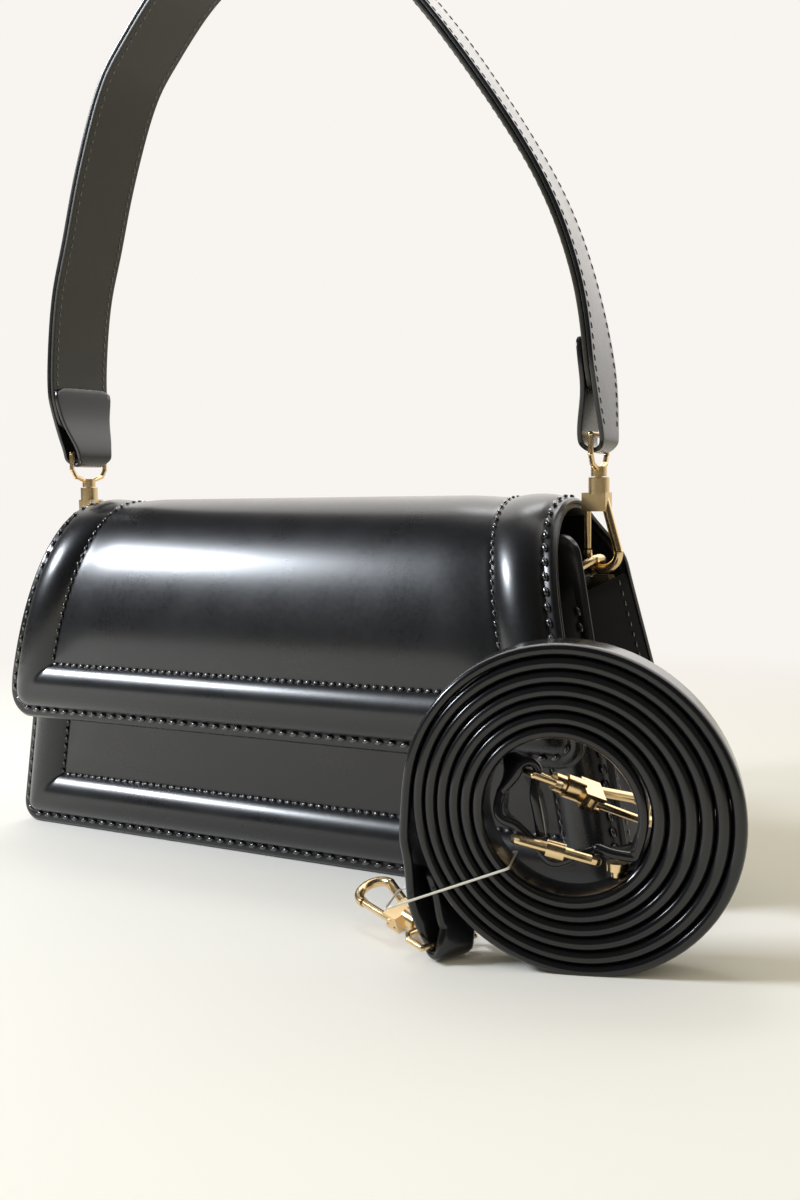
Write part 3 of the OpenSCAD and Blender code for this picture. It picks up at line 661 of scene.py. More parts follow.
@dataclass
class Metal(Finish):
    """Plated metal with faint wiping marks."""

    name: str = "pale_gold"
    dark: Colour = (0.74, 0.53, 0.27)
    light: Colour = (0.9, 0.7, 0.42)
    low: float = 0.16
    spread: float = 0.16

    def dress(self) -> None:
        """Metal whose gloss changes a little from place to place."""
        place = self.coords()
        cloud = self.noise(place, 130, 4)
        scratch = self.noise(self.coords((1.0, 1.0, 7.0)), 900, 2)
        self.colour(cloud, self.dark, self.light)
        self.rough(cloud * self.spread + scratch * 0.07 + (self.low - 0.05))
        self.bumps(((scratch, 0.25, 0.02), (cloud, 0.3, 0.05)))
        self.set(Metallic=1.0)


@dataclass
class Weave(Finish):
    """Woven lining with fine warp and weft."""

    name: str = "woven_lining"
    dark: Colour = (0.018, 0.017, 0.012)
    light: Colour = (0.05, 0.047, 0.034)
    pitch: float = 0.45

    def dress(self) -> None:
        """Two crossed waves for the threads and a soft cloud for wear."""
        place = self.coords()
        values = {"Vector": place, "Scale": math.pi / (self.pitch * MM) / 20}
        threads = []
        for way in "XZ":
            settings = {"wave_type": "BANDS", "bands_direction": way}
            wave = add_node(self.tree, "ShaderNodeTexWave", settings, values)
            threads.append(Num(self.tree, wave.outputs[1]))
        cloth = threads[0] * threads[1]
        self.colour(cloth * 0.6 + self.noise(place, 60) * 0.5, self.dark, self.light)
        self.rough(self.noise(place, 90) * 0.15 + 0.72)
        self.bumps(((cloth, 0.5, 0.12),))
        self.set(Sheen_Weight=0.25)


@dataclass
class Fibre(Finish):
    """Pressed fibre board."""

    name: str = "fibre_board"
    dark: Colour = (0.2, 0.17, 0.12)
    light: Colour = (0.36, 0.31, 0.23)

    def dress(self) -> None:
        """Flecks of fibre."""
        flecks = self.noise(self.coords((1.0, 1.0, 2.6)), 700, 4)
        self.colour(flecks, self.dark, self.light)
        self.rough(flecks * 0.2 + 0.7)
        self.bumps(((flecks, 0.4, 0.1),))


@dataclass
class Yarn(Finish):
    """Waxed or plain sewing thread with a twist."""

    name: str = "waxed_thread"
    dark: Colour = (0.004, 0.004, 0.005)
    light: Colour = (0.016, 0.016, 0.019)
    low: float = 0.16

    def dress(self) -> None:
        """Fine twist in the thread."""
        place = self.coords()
        twist = self.noise(place, 2600, 2)
        self.colour(twist, self.dark, self.light)
        self.rough(twist * 0.2 + self.low)
        self.bumps(((twist, 0.35, 0.06),))
        self.set(Coat_Weight=1.0, Coat_Roughness=0.2, Specular_IOR_Level=0.9)


CALF = Calf()
SOFT_CALF = Calf(name="soft_calf", low=0.42, spread=0.2, coat=0.0, grain=0.16, wave=0.25, gloss=0.2)
COIL_CALF = Calf(
    name="coil_calf", low=0.2, spread=0.1, coat=0.4, coat_rough=0.12, wave=0.05, gloss=0.36
)
STRAP_CALF = Calf(name="strap_calf", wave=0.1, low=0.24, coat=0.3)
STRAP_BACK = Calf(
    name="olive_strap_lining", dark=(0.014, 0.0125, 0.008), light=(0.034, 0.031, 0.021),
    low=0.34, spread=0.2, grain=0.1, coat=0.12, coat_rough=0.3, wave=0.08,
)
# Rims of the leather sheets: their olive grey is a painted reflection of the pale floor, on edges whose own
# paint is dark.
EDGE_WITH_PAINTED_REFLECTION = Calf(
    name="edge_with_painted_floor_reflection", dark=(0.03, 0.029, 0.018), light=(0.085, 0.08, 0.055),
    low=0.3, spread=0.2, grain=0.06, coat=0.1, coat_rough=0.3, wave=0.05,
)
GOLD = Metal()
STEEL = Metal(name="nickel", dark=(0.52, 0.52, 0.5), light=(0.72, 0.72, 0.69), low=0.22)
LINING = Weave()
BOARD = Fibre()
WAXED = Yarn()
PALE_THREAD = Yarn(name="pale_thread", dark=(0.55, 0.52, 0.45), light=(0.8, 0.78, 0.72), low=0.45)


# Bag


@dataclass(frozen=True)
class Padding:
    """Section of a padded border, by the distance from the edge."""

    seam: float = 4.6
    width: float = 22.0
    height: float = 4.3
    puff: float = 0.9

    def lift(self, d: float, share: float = 1.0) -> float:
        """Height of the leather above the flat sheet.

        Args:
            d: distance from the edge.
            share: how much of the padding is left at this place.

        Returns:
            The height in millimetres.
        """
        inner = self.width
        base = mix(0.25, 0.1, ease((d - self.seam) / (inner - self.seam)))
        if d <= self.seam:
            return rim(d) + 0.35 * share * ease(d / 1.8) * (1 - ease((d - 1.8) / (self.seam - 1.8)))
        if d < inner:
            t = ((d - self.seam) / (inner - self.seam)) ** 0.9
            round_top = (1 - abs(2 * t - 1) ** 2.1) ** 0.72
            return base + self.height * share * round_top
        return base + self.puff * ease((d - inner) / 16) + 0.35 * ease((d - inner) / 1.6)


# How far a row of stitches stands out of its groove
STITCH_RISE = 0.5
OUTER_THREAD = Thread(5.0, share=0.72, width=1.7, height=1.25)
INNER_THREAD = Thread(3.4, share=0.78, width=1.25, height=1.0)
FINE_THREAD = Thread(3.6, width=0.9, height=0.7)


@dataclass
class Shell:
    """A leather sheet over a side view, with its outline, padding and stitches."""

    profile: Profile
    half: Callable[[float], float]
    lift: Callable[[float, float], float]
    low_r: float
    high_r: float
    fine: Sequence[float]

    def edge(self, side: float, s: float) -> float:
        """Distance from the outline of a place at a distance from the side and a length s."""
        found = side
        for end, radius in ((s, self.low_r), (self.profile.length - s, self.high_r)):
            if side < radius and end < radius:
                found = min(found, radius - math.hypot(radius - side, radius - end))
            else:
                found = min(found, end)
        return max(0.0, found)

    def spot(self, x: float, s: float, extra: float = 0.0) -> tuple[Vector, Vector]:
        """Place on the leather and the sheet's normal there.

        Args:
            x: place across.
            s: length along the side view.
            extra: height above the leather.

        Returns:
            The place and the normal.
        """
        point, normal = self.profile.at(s)
        height = self.lift(self.edge(self.half(s) - abs(x), s), s) + extra
        return (
            Vector((x, point[0] + normal[0] * height, point[1] + normal[1] * height)),
            Vector((0.0, normal[0], normal[1])),
        )

    def marks(self, coarse: float) -> tuple[list[float], list[float]]:
        """Lengths of the rows, and distances of the border's columns from the side."""
        last = self.fine[-1]
        count = round((self.profile.length - 2 * last) / coarse)
        middle = [mix(last, self.profile.length - last, k / count) for k in range(1, count)]
        rows = [*self.fine, *middle, *[self.profile.length - d for d in reversed(self.fine)]]
        return rows, list(self.fine)

    def mesh(self, coarse: float = 4.5, middle: int = 30) -> bmesh.types.BMesh:
        """The sheet's mesh, with fine rows and columns near its edges.

        Args:
            coarse: distance of the rows away from the ends.
            middle: number of columns between the borders.

        Returns:
            The mesh.
        """
        rows, border = self.marks(coarse)
        last = border[-1]
        cols = len(border) * 2 + middle - 2
        left = len(border) - 1

        def place(row: int, col: int) -> Vector:
            """Place of a grid point."""
            s = rows[row]
            half = self.half(s)
            drawn = max(drawn_in(s, self.low_r), drawn_in(self.profile.length - s, self.high_r))
            inner = half - last
            if col <= left:
                x = -(half - drawn - border[col] * (1 - drawn / last))
            elif col >= cols - left:
                x = half - drawn - border[cols - col] * (1 - drawn / last)
            else:
                x = mix(-inner, inner, (col - left) / (cols - 2 * left))
            return self.spot(x, s)[0]

        centre = Vector((0, -5, 60))
        return sheet_mesh(len(rows) - 1, cols, place, centre)

    def u_row(self, d: float, top: float, step: float = 1.0) -> list[tuple[Vector, Vector]]:
        """Row of places beside the edge: down the left side, along the hem and up the right side.

        Args:
            d: distance from the edge.
            top: length along the side view where the row ends.
            step: distance of its points.

        Returns:
            The places with their normals.
        """
        r = max(1.5, self.low_r - d)
        right: list[tuple[float, float]] = []
        count = int((top - d - r) / step)
        for k in range(count + 1):
            s = mix(top, d + r, k / count)
            right.append((self.half(s) - d, s))
        for k in range(1, 9):
            c, sn = turned(90 * k / 8, r)
            right.append((self.half(d + r) - d - r + c, d + r - sn))
        x_end = right[-1][0]
        count = int(x_end / step)
        bottom = [(mix(x_end, 0.0, k / count), d) for k in range(1, count + 1)]
        half_row = right + bottom
        full = [(-x, s) for x, s in half_row] + [(x, s) for x, s in reversed(half_row[:-1])]
        return [self.spot(x, s, STITCH_RISE) for x, s in full]


# Distances from the edge at which a leather sheet has rows and columns
BORDER = (
    0.0, 0.25, 0.6, 1.1, 1.7, 2.4, 3.0, 3.5, 3.85, 4.2, 4.7, 5.5, 6.8, 8.4, 10.2, 12.0, 13.8, 15.6,
    17.2, 18.6, 19.7, 20.5, 21.1, 21.6, 22.0, 22.4, 22.9, 23.7, 25.0, 27.0,
)


@dataclass
class OuterLeather:
    """The flap with the back, one skin over the crest, and the front panel.

    The rows of stitches are given by their distance from the edge.
    """

    form: BagForm = FORM
    pad: Padding = Padding()
    front_pad: Padding = Padding(seam=4.4, width=21.0, height=4.6)
    outer_row: float = 3.5
    inner_row: float = 22.1
    front_outer_row: float = 3.4
    front_inner_row: float = 21.1
    back_row_in: float = 4.0

    def __post_init__(self) -> None:
        """Lays out the two side views."""
        face = self.form.flap_face(3.0)
        profile = Profile([*face, *self.form.back_face(3.0, 22)])
        self.front_profile = Profile(self.front_face())
        self.crest_s = profile.marks[len(face) - 1]
        hinge_z = self.form.hinge[1]
        self.hinge_s = profile.mark_of(lambda p: p[0] > self.form.crest_y + 1 and p[1] < hinge_z)
        self.fade_s = profile.mark_of(lambda p: p[1] > 88)
        self.wrap = Shell(
            profile, self.wrap_half, self.wrap_lift, self.form.hem_r, self.form.corner_r, BORDER
        )
        self.front = Shell(
            self.front_profile, self.front_half, self.front_lift, self.form.corner_r, 8.0, BORDER
        )

    def wrap_half(self, s: float) -> float:
        """Half width of the flap and the back at a length."""
        z = self.wrap.profile.at(s)[0][1]
        form = self.form
        if s < self.crest_s:
            return form.flap_half(z)
        top = form.flap_half(form.height)
        if z > form.hinge[1]:
            return top
        if z > 106:
            return mix(form.body_half(106), top, ease((z - 106) / (form.hinge[1] - 106)))
        return form.body_half(max(z, form.corner_r))

    def wrap_lift(self, d: float, s: float) -> float:
        """Height of the padded border on the flap, which runs out over the crest."""
        share = mix(1.0, 0.34, ease((s - self.fade_s) / (self.crest_s - self.fade_s)))
        share *= 1 - ease((s - self.crest_s) / 16)
        over = ease((s - self.crest_s) / 16)
        flat = rim(d) - 0.25 * math.exp(-(((d - 4.0) / 0.7) ** 2)) * over
        return mix(self.pad.lift(d, share), flat, over)

    def front_face(self) -> list[Vector]:
        """Side view of the front panel, pressed back at its top by the closed flap."""
        form = self.form
        face = Profile(form.flap_face(7.5))
        depth = form.leather + form.board + form.lining + 2 * form.gap + 0.6
        under = [p - n * depth for p, n in zip(face.points, face.normals)]
        top = [p for p in under if p[0] > form.front_y and p[1] < form.height - 9.5 and p[0] < form.crest_y]
        knee = Vector((form.front_y, top[0][1] - 3))
        low = Vector((form.front_y, 0.0))
        return [*[mix(low, knee, k / 12) for k in range(13)], *top]

    def front_half(self, s: float) -> float:
        """Half width of the front panel at a length."""
        return self.form.body_half(min(self.front_profile.at(s)[0][1], 119.5))

    def front_lift(self, d: float, s: float) -> float:
        """Height of the padded border on the front panel, which ends under the flap."""
        z = self.front_profile.at(s)[0][1]
        share = 1 - ease((z - 90) / 13)
        return mix(rim(d), self.front_pad.lift(d, 1.0), share) - 0.15 * (1 - share)

    def build(self) -> None:
        """Makes the skins with their stitches."""
        form = self.form
        # The rims get the olive grey finish, a painted reflection of the floor.
        skin = Skin(thick=form.leather - 0.1, edge=EDGE_WITH_PAINTED_REFLECTION)
        wrap = finished(self.wrap.mesh(), "flap_and_back_leather", skin, CALF)
        hinge_y, hinge_z = form.hinge
        start = Vector((0, hinge_y + 4.5, hinge_z - 3)) * MM
        end = Vector((0, hinge_y - 4.5, hinge_z + 3)) * MM
        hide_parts("flap_panel", "flap_frame", "back_panel")
        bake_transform(wrap)
        front = finished(self.front.mesh(), "front_leather", skin, CALF)
        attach(front, "body")
        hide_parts("front_panel", "front_frame")
        LOG.info("flap, back and front leather")
        bm = bmesh.new()
        top = self.crest_s + 5
        stitch_row(bm, self.wrap.u_row(self.outer_row, top), OUTER_THREAD)
        stitch_row(bm, self.wrap.u_row(self.inner_row, top), INNER_THREAD)
        self.keep_stitches(bm, "flap_stitches", "flap")
        bm = bmesh.new()
        stitch_row(bm, self.front.u_row(self.front_outer_row, 96), OUTER_THREAD)
        stitch_row(bm, self.front.u_row(self.front_inner_row, 88), INNER_THREAD)
        self.keep_stitches(bm, "front_stitches", "body")
        bm = bmesh.new()
        stitch_row(bm, self.back_row(self.back_row_in), FINE_THREAD)
        self.keep_stitches(bm, "back_stitches", "body")

    def back_row(self, d: float) -> list[tuple[Vector, Vector]]:
        """Row of places near the edge of the back panel."""
        length = self.wrap.profile.length
        r = self.form.corner_r - d
        top = self.hinge_s + 8
        half: list[tuple[float, float]] = []
        for k in range(100):
            s = mix(top, length - d - r, k / 99)
            half.append((self.wrap_half(s) - d, s))
        for k in range(1, 9):
            c, sn = turned(90 * k / 8, r)
            half.append((self.wrap_half(length - d - r) - d - r + c, length - d - r + sn))
        end = half[-1][0]
        half += [(mix(end, 0.0, k / 100), length - d) for k in range(1, 101)]
        full = [(-x, s) for x, s in half] + [(x, s) for x, s in reversed(half[:-1])]
        return [self.wrap.spot(x, s, STITCH_RISE / 2) for x, s in full]

    def keep_stitches(self, bm: bmesh.types.BMesh, name: str, body: str) -> None:
        """Finishes a mesh of stitches and lets it ride on a body."""
        piece = finished(bm, name, Skin(levels=0), WAXED)
        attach(piece, body)
        LOG.info("%s", name)


@dataclass
class Body:
    """The gussets, linings, base and ring tabs."""

    form: BagForm = FORM
    gusset_top: float = 104.0
    gusset_dip: float = 10.0
    inset: float = 0.6
    gusset_t: float = 1.8
    tab_w: float = 12.0
    tab_t: float = 1.6

    def __post_init__(self) -> None:
        """Works out the fold of the gussets."""
        self.fold_x = BAR_X - 5.6
        self.fold_z = self.gusset_top - self.gusset_dip
        self.lean = (FORM.base_d / 2 - FORM.crest_y - FORM.back_reach) / FORM.back_round_z

    def gusset(self, side: Side) -> None:
        """One folded side wall with its turned top edge."""
        form = self.form
        heights = [0, 0.4, 1.2, 2.6, 4.6, 7, 10, *[14 + 4.5 * k for k in range(20)]]
        heights += [101, 102.6, 103.5, self.gusset_top]
        cols = 26

        def place(row: int, col: int) -> Vector:
            """Place of a grid point, from the front edge to the back edge."""
            z = heights[row]
            u = col / cols
            r = form.corner_r
            wall = form.body_half(max(z, r)) - drawn_in(z, r) - self.inset
            near = form.front_y + form.leather + form.gap
            far = form.base_d / 2 - self.lean * z - form.leather * 1.05 - form.gap
            s = z / self.gusset_top
            deep = max(0.0, (s - 0.1) / 0.9)
            fold = 1.06 - math.sqrt((2 * u - 1) ** 2 * 1.12 + 0.004)
            fold = min(1.0, max(0.0, fold))
            swell = 0.9 * math.sin(math.pi * min(1.0, abs(2 * u - 1))) * ease(s * 3) * deep
            x = mix(wall, self.fold_x, deep * fold) + swell
            drop = mix(1.0, self.fold_z / self.gusset_top, s * fold)
            top_edge = 0.5 * ease((z - self.gusset_top + 3) / 3)
            return Vector((side.value * (x - top_edge), mix(near, far, u), z * drop))

        bm = sheet_mesh(len(heights) - 1, cols, place, Vector((0, 0, 50)))
        name = f"{side.word}_gusset_leather"
        # The gusset's rims get the olive grey finish, a painted reflection of the floor.
        piece = finished(bm, name, Skin(thick=self.gusset_t - 0.1, edge=EDGE_WITH_PAINTED_REFLECTION), SOFT_CALF)
        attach(piece, "body")
        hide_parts(f"{side.word}_gusset")
        bm = bmesh.new()
        normal = Vector((side.value, 0, 0))
        for col in (2, cols - 2):
            path = [(place(row, col) + normal * 0.1, normal) for row in range(4, len(heights) - 1)]
            stitch_row(bm, path, FINE_THREAD)
        stitches = finished(bm, f"{side.word}_gusset_stitches", Skin(levels=0), WAXED)
        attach(stitches, "body")
        LOG.info("%s gusset", side.word)

    def base(self) -> None:
        """Base leather with a slightly raised middle and turned edges."""
        half = self.form.body_half(9) - 9 - self.inset - self.gusset_t - self.form.gap
        near = self.form.front_y + self.form.leather + self.form.gap
        far = self.form.base_d / 2 - self.form.leather - 0.3
        shares = [0, 0.008, 0.03, *[0.08 * k for k in range(1, 12)], 0.95, 0.985, 1.0]

        def place(row: int, col: int) -> Vector:
            """Place of a grid point on the underside."""
            x = mix(-half, half, shares[col])
            y = mix(near, far, shares[row])
            rim = min(x + half, half - x, y - near, far - y)
            return Vector((x, y, 0.35 * ease((rim - 1.5) / 6)))

        count = len(shares) - 1
        bm = sheet_mesh(count, count, place, Vector((0, 0, 50)))
        piece = finished(bm, "base_leather", Skin(thick=1.35), CALF)
        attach(piece, "body")
        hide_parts("base_panel")

    def lining(self) -> None:
        """Body lining: a trough of cloth that hangs a little between its seams."""
        form = self.form
        low = form.leather + 0.4 + form.board + 2 * form.gap
        depth = form.leather + form.board + 2 * form.gap
        near = form.front_y + depth + form.lining / 2
        top = self.gusset_top
        foot = form.base_d / 2 - self.lean * low - depth * 1.03 - form.lining / 2
        crown = form.base_d / 2 - self.lean * top - depth * 1.03 - form.lining / 2
        base = low + form.lining / 2
        corners = [(crown, top - 1), (foot + 0.4, base + 4), (foot - 3, base)]
        corners += [(near + 3, base), (near, base + 4), (near, top + 3)]
        profile = Profile(corners)
        rows, cols = 90, 60

        def place(row: int, col: int) -> Vector:
            """Place of a grid point, from the top of the back round to the top of the front."""
            point, normal = profile.at(profile.length * row / rows)
            r = form.corner_r
            z = point[1] - base
            half = form.body_half(max(r, point[1])) - 7.5 - drawn_in(z, r)
            u = 2 * col / cols - 1
            fold = 0.35 * math.sin(9 * u + point[1] * 0.06) * (1 - u * u)
            inward = normal * (0.15 + max(0.0, fold) * ease(z / 30))
            return Vector((half * u, point[0] - 0.4 * inward[0], point[1] - 0.4 * inward[1]))

        bm = sheet_mesh(rows, cols, place, Vector((0, 0, 60)))
        piece = finished(bm, "body_lining_cloth", Skin(thick=0.55, offset=0.0, levels=0), LINING)
        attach(piece, "body")
        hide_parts("body_lining")

    def flap_lining(self, leather: OuterLeather) -> None:
        """Lining on the inner side of the flap."""
        form = self.form
        depth = form.leather + form.board + 2 * form.gap
        profile = leather.wrap.profile
        last = leather.hinge_s - 0.3
        rows, cols = 70, 50

        def place(row: int, col: int) -> Vector:
            """Place of a grid point, from the hem to the hinge line."""
            s = mix(0.6, last, row / rows)
            point, normal = profile.at(s)
            half = leather.wrap_half(s) - 0.5 - drawn_in(s, form.hem_r)
            inner = point - normal * depth
            return Vector((half * (2 * col / cols - 1), inner[0], inner[1]))

        bm = sheet_mesh(rows, cols, place, Vector((0, -5, 60)))
        piece = finished(bm, "flap_lining_leather", Skin(thick=form.lining - 0.1, levels=0), STRAP_BACK)
        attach(piece, "flap")
        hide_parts("flap_lining")

    def tab(self, side: Side) -> None:
        """Leather tab that comes up from the gusset, goes round the ring's bar and back down."""
        x = self.fold_x - self.gusset_t - 0.1 - self.tab_t / 2
        knee = Vector((x, self.fold_z + 3.5))
        bar = Vector((BAR_X, BAR_Z))
        way = (bar - knee).normalized()
        out = Vector((-way[1], way[0]))
        r = 1.4 + 0.05 + self.tab_t / 2
        start = math.degrees(math.atan2(out[1], out[0]))
        loop = [bar + Vector(turned(start - a, r)) for a in range(0, 181, 15)]
        upper = [Vector((x, self.fold_z - 18)), Vector((x, self.fold_z - 6)), knee + out * 0.4]
        lower = [mix(bar - out * r, knee - out * 0.6, 0.45), mix(bar - out * r, knee - out * 0.2, 0.8)]
        path = catmull([*upper, mix(upper[-1], loop[0], 0.6), *loop, *lower], 2)
        points = [Vector((side.value * p[0], STRAP_Y, p[1])) for p in path]
        rows = []
        for i, point in enumerate(points):
            t = along(points, i)
            across = Vector((0, 1, 0))
            face = t.cross(across).normalized()
            rows.append(StrapRow(point, across, face, self.tab_w, self.tab_t - 0.15))
        piece = finished(strap_mesh(rows), f"{side.word}_tab_leather", Skin(), CALF)
        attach(piece, "body")
        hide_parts(f"{side.word}_ring_tab")

    def build(self, leather: OuterLeather) -> None:
        """Makes all the parts of the body below the outer leather."""
        for side in Side:
            self.gusset(side)
            self.tab(side)
        self.base()
        self.lining()
        self.flap_lining(leather)
        LOG.info("body parts")


# Shoulder strap


@dataclass(frozen=True)
class ArchShape:
    """Middle line of the shoulder strap as shares of the half span and of the rise."""

    points: tuple[tuple[float, float], ...] = (
        (-1, 0), (-1.01, 0.08), (-1.015, 0.18), (-0.985, 0.33), (-0.925, 0.45), (-0.855, 0.59),
        (-0.75, 0.745), (-0.64, 0.83), (-0.465, 0.93), (-0.28, 0.983), (-0.07, 1), (0.14, 0.962),
        (0.32, 0.875), (0.485, 0.76), (0.655, 0.615), (0.79, 0.485), (0.872, 0.385), (0.927, 0.29),
        (0.962, 0.2), (0.985, 0.1), (1, 0),
    )
    rise: float = 187.0
    loop_r: float = 3.7
    ply: float = 1.7
    twist: float = 13.0
    end_turn: float = 8.0
    tab_rise: float = 33.0
    side_w: float = 18.5
    end_w: float = 14.0
    width: float = 31.0
    loop_z: float = 147.8


@dataclass
class ShoulderStrap:
    """Two plies with the ends of the outer one folded through the eyes."""

    shape: ArchShape = ArchShape()

    def __post_init__(self) -> None:
        """Draws the arch."""
        self.loop_in = self.shape.loop_r - self.shape.ply / 2
        span = CLASP_X + self.loop_in
        points = [Vector((x * span, self.shape.loop_z + z * self.shape.rise)) for x, z in self.shape.points]
        self.line = catmull(points, 4)

    def row_at(self, i: int) -> tuple[Vector, Vector, Vector, Vector]:
        """Middle, outward direction, direction across and direction along at a point of the arch."""
        s = i / (len(self.line) - 1)
        t2 = along(self.line, i)
        t = Vector((t2[0], 0, t2[1]))
        shape = self.shape
        back = (shape.twist - shape.end_turn) * ease((s - 0.86) / 0.13)
        angle = back - shape.twist * ease((s - 0.45) / 0.4)
        c, sn = turned(angle)
        depth = Vector((0, 1, 0))
        across = depth * c + t.cross(depth) * sn
        return Vector((self.line[i][0], STRAP_Y, self.line[i][1])), t.cross(across), across, t

    def width_at(self, z: float) -> float:
        """Width of the strap at a height."""
        share = min(1.0, max(0.0, (z - self.shape.loop_z - 2) / 21)) ** 0.8
        return mix(self.shape.side_w, self.shape.width, share)

    def end(self, i: int, steps: Sequence[int], down: int) -> list[StrapRow]:
        """Rows of one folded end, from the loop's outer side inward and up the inside."""
        shape = self.shape
        middle, out, across, way = self.row_at(i)
        centre = middle - out * self.loop_in
        rows = []
        for k in range(9):
            c, s = turned(22.5 * k)
            normal = out * c + way * (s * down)
            width = mix(shape.side_w, shape.end_w, ease((s - 0.3) / 0.5))
            rows.append(StrapRow(centre + normal * shape.loop_r, across, normal, width, shape.ply - 0.1))
        for k in steps:
            middle, out, across, _ = self.row_at(k)
            z = self.line[k][1]
            s = ease((z - shape.loop_z) / (shape.tab_rise - 15))
            shift = mix(shape.ply / 2 - 2 * shape.loop_r, -1.5 * shape.ply - 0.15, s)
            rows.append(StrapRow(middle + out * shift, across, -out, self.width_at(z), shape.ply - 0.1))
        return rows

    def build(self) -> None:
        """Makes both plies and their stitches."""
        shape = self.shape
        last = len(self.line) - 1
        low = shape.loop_z + shape.tab_rise
        up = [k for k in range(1, last) if k < last / 2 and self.line[k][1] < low]
        down = [k for k in range(last - 1, 0, -1) if k > last / 2 and self.line[k][1] < low]
        rows = list(reversed(self.end(0, up, -1)))
        plain = []
        for k in range(1, last):
            middle, out, across, _ = self.row_at(k)
            width = self.width_at(self.line[k][1])
            row = StrapRow(middle + out * shape.ply / 2, across, out, width, shape.ply - 0.1)
            rows.append(row)
            plain.append(row)
        rows += self.end(last, down, 1)
        outer = finished(strap_mesh(rows), "shoulder_strap_outer", Skin(), STRAP_CALF)
        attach(outer, "shoulder_strap")
        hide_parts("strap_outer")
        inner_rows = []
        for k in range(1, last):
            middle, out, across, _ = self.row_at(k)
            if self.line[k][1] > shape.loop_z + 9:
                width = self.width_at(middle.z) - 0.3
                under = middle - out * (shape.ply / 2 + 0.03)
                inner_rows.append(StrapRow(under, across, -out, width, shape.ply - 0.1))
        inner = finished(strap_mesh(inner_rows), "shoulder_strap_lining", Skin(), STRAP_BACK)
        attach(inner, "shoulder_strap")
        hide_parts("strap_lining")
        bm = bmesh.new()
        thread = Thread(3.4, width=0.8, height=0.55)
        for edge in (-1, 1):
            shift = [r.across * edge * (r.width / 2 - 2.6) for r in plain]
            outside = [(r.middle + d + r.face * (shape.ply / 2), r.face) for r, d in zip(plain, shift)]
            stitch_row(bm, outside, thread)
            inside = [
                (r.middle + r.across * edge * (r.width / 2 - 2.4) + r.face * (shape.ply / 2), r.face)
                for r in inner_rows
            ]
            stitch_row(bm, inside, thread)
        stitches = finished(bm, "shoulder_strap_stitches", Skin(levels=0), WAXED)
        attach(stitches, "shoulder_strap")
        LOG.info("shoulder strap")


# Coiled crossbody strap


@dataclass(frozen=True)
class CoilShape:
    """Sizes of the coiled strap, in a frame of its own with Y away from its front face."""

    place: tuple[float, float, float] = (148.0, -90.7, 0.0)
    yaw: float = 20.0
    width: float = 17.2
    thick: float = 2.8
    end_w: float = 12.4
    turns: float = 6.556
    start_r: float = 21.3
    step: float = 3.75
    drift: float = 0.45
    sag: float = 0.035
    sag_a: float = 137.0
    start_a: float = -20.0
    shift_x: float = -9.7
    foot_cut: float = 0.5
    round_r: float = 0.9 + 0.7 + 1.4
    slider_l: float = 25.6
    slider_d: float = 2.8


def level_axis(way: Vector) -> Vector:
    """Level direction across a clasp's way."""
    return Vector((-way.y, way.x, 0)).normalized() * (1 if way.x > 0 else -1)


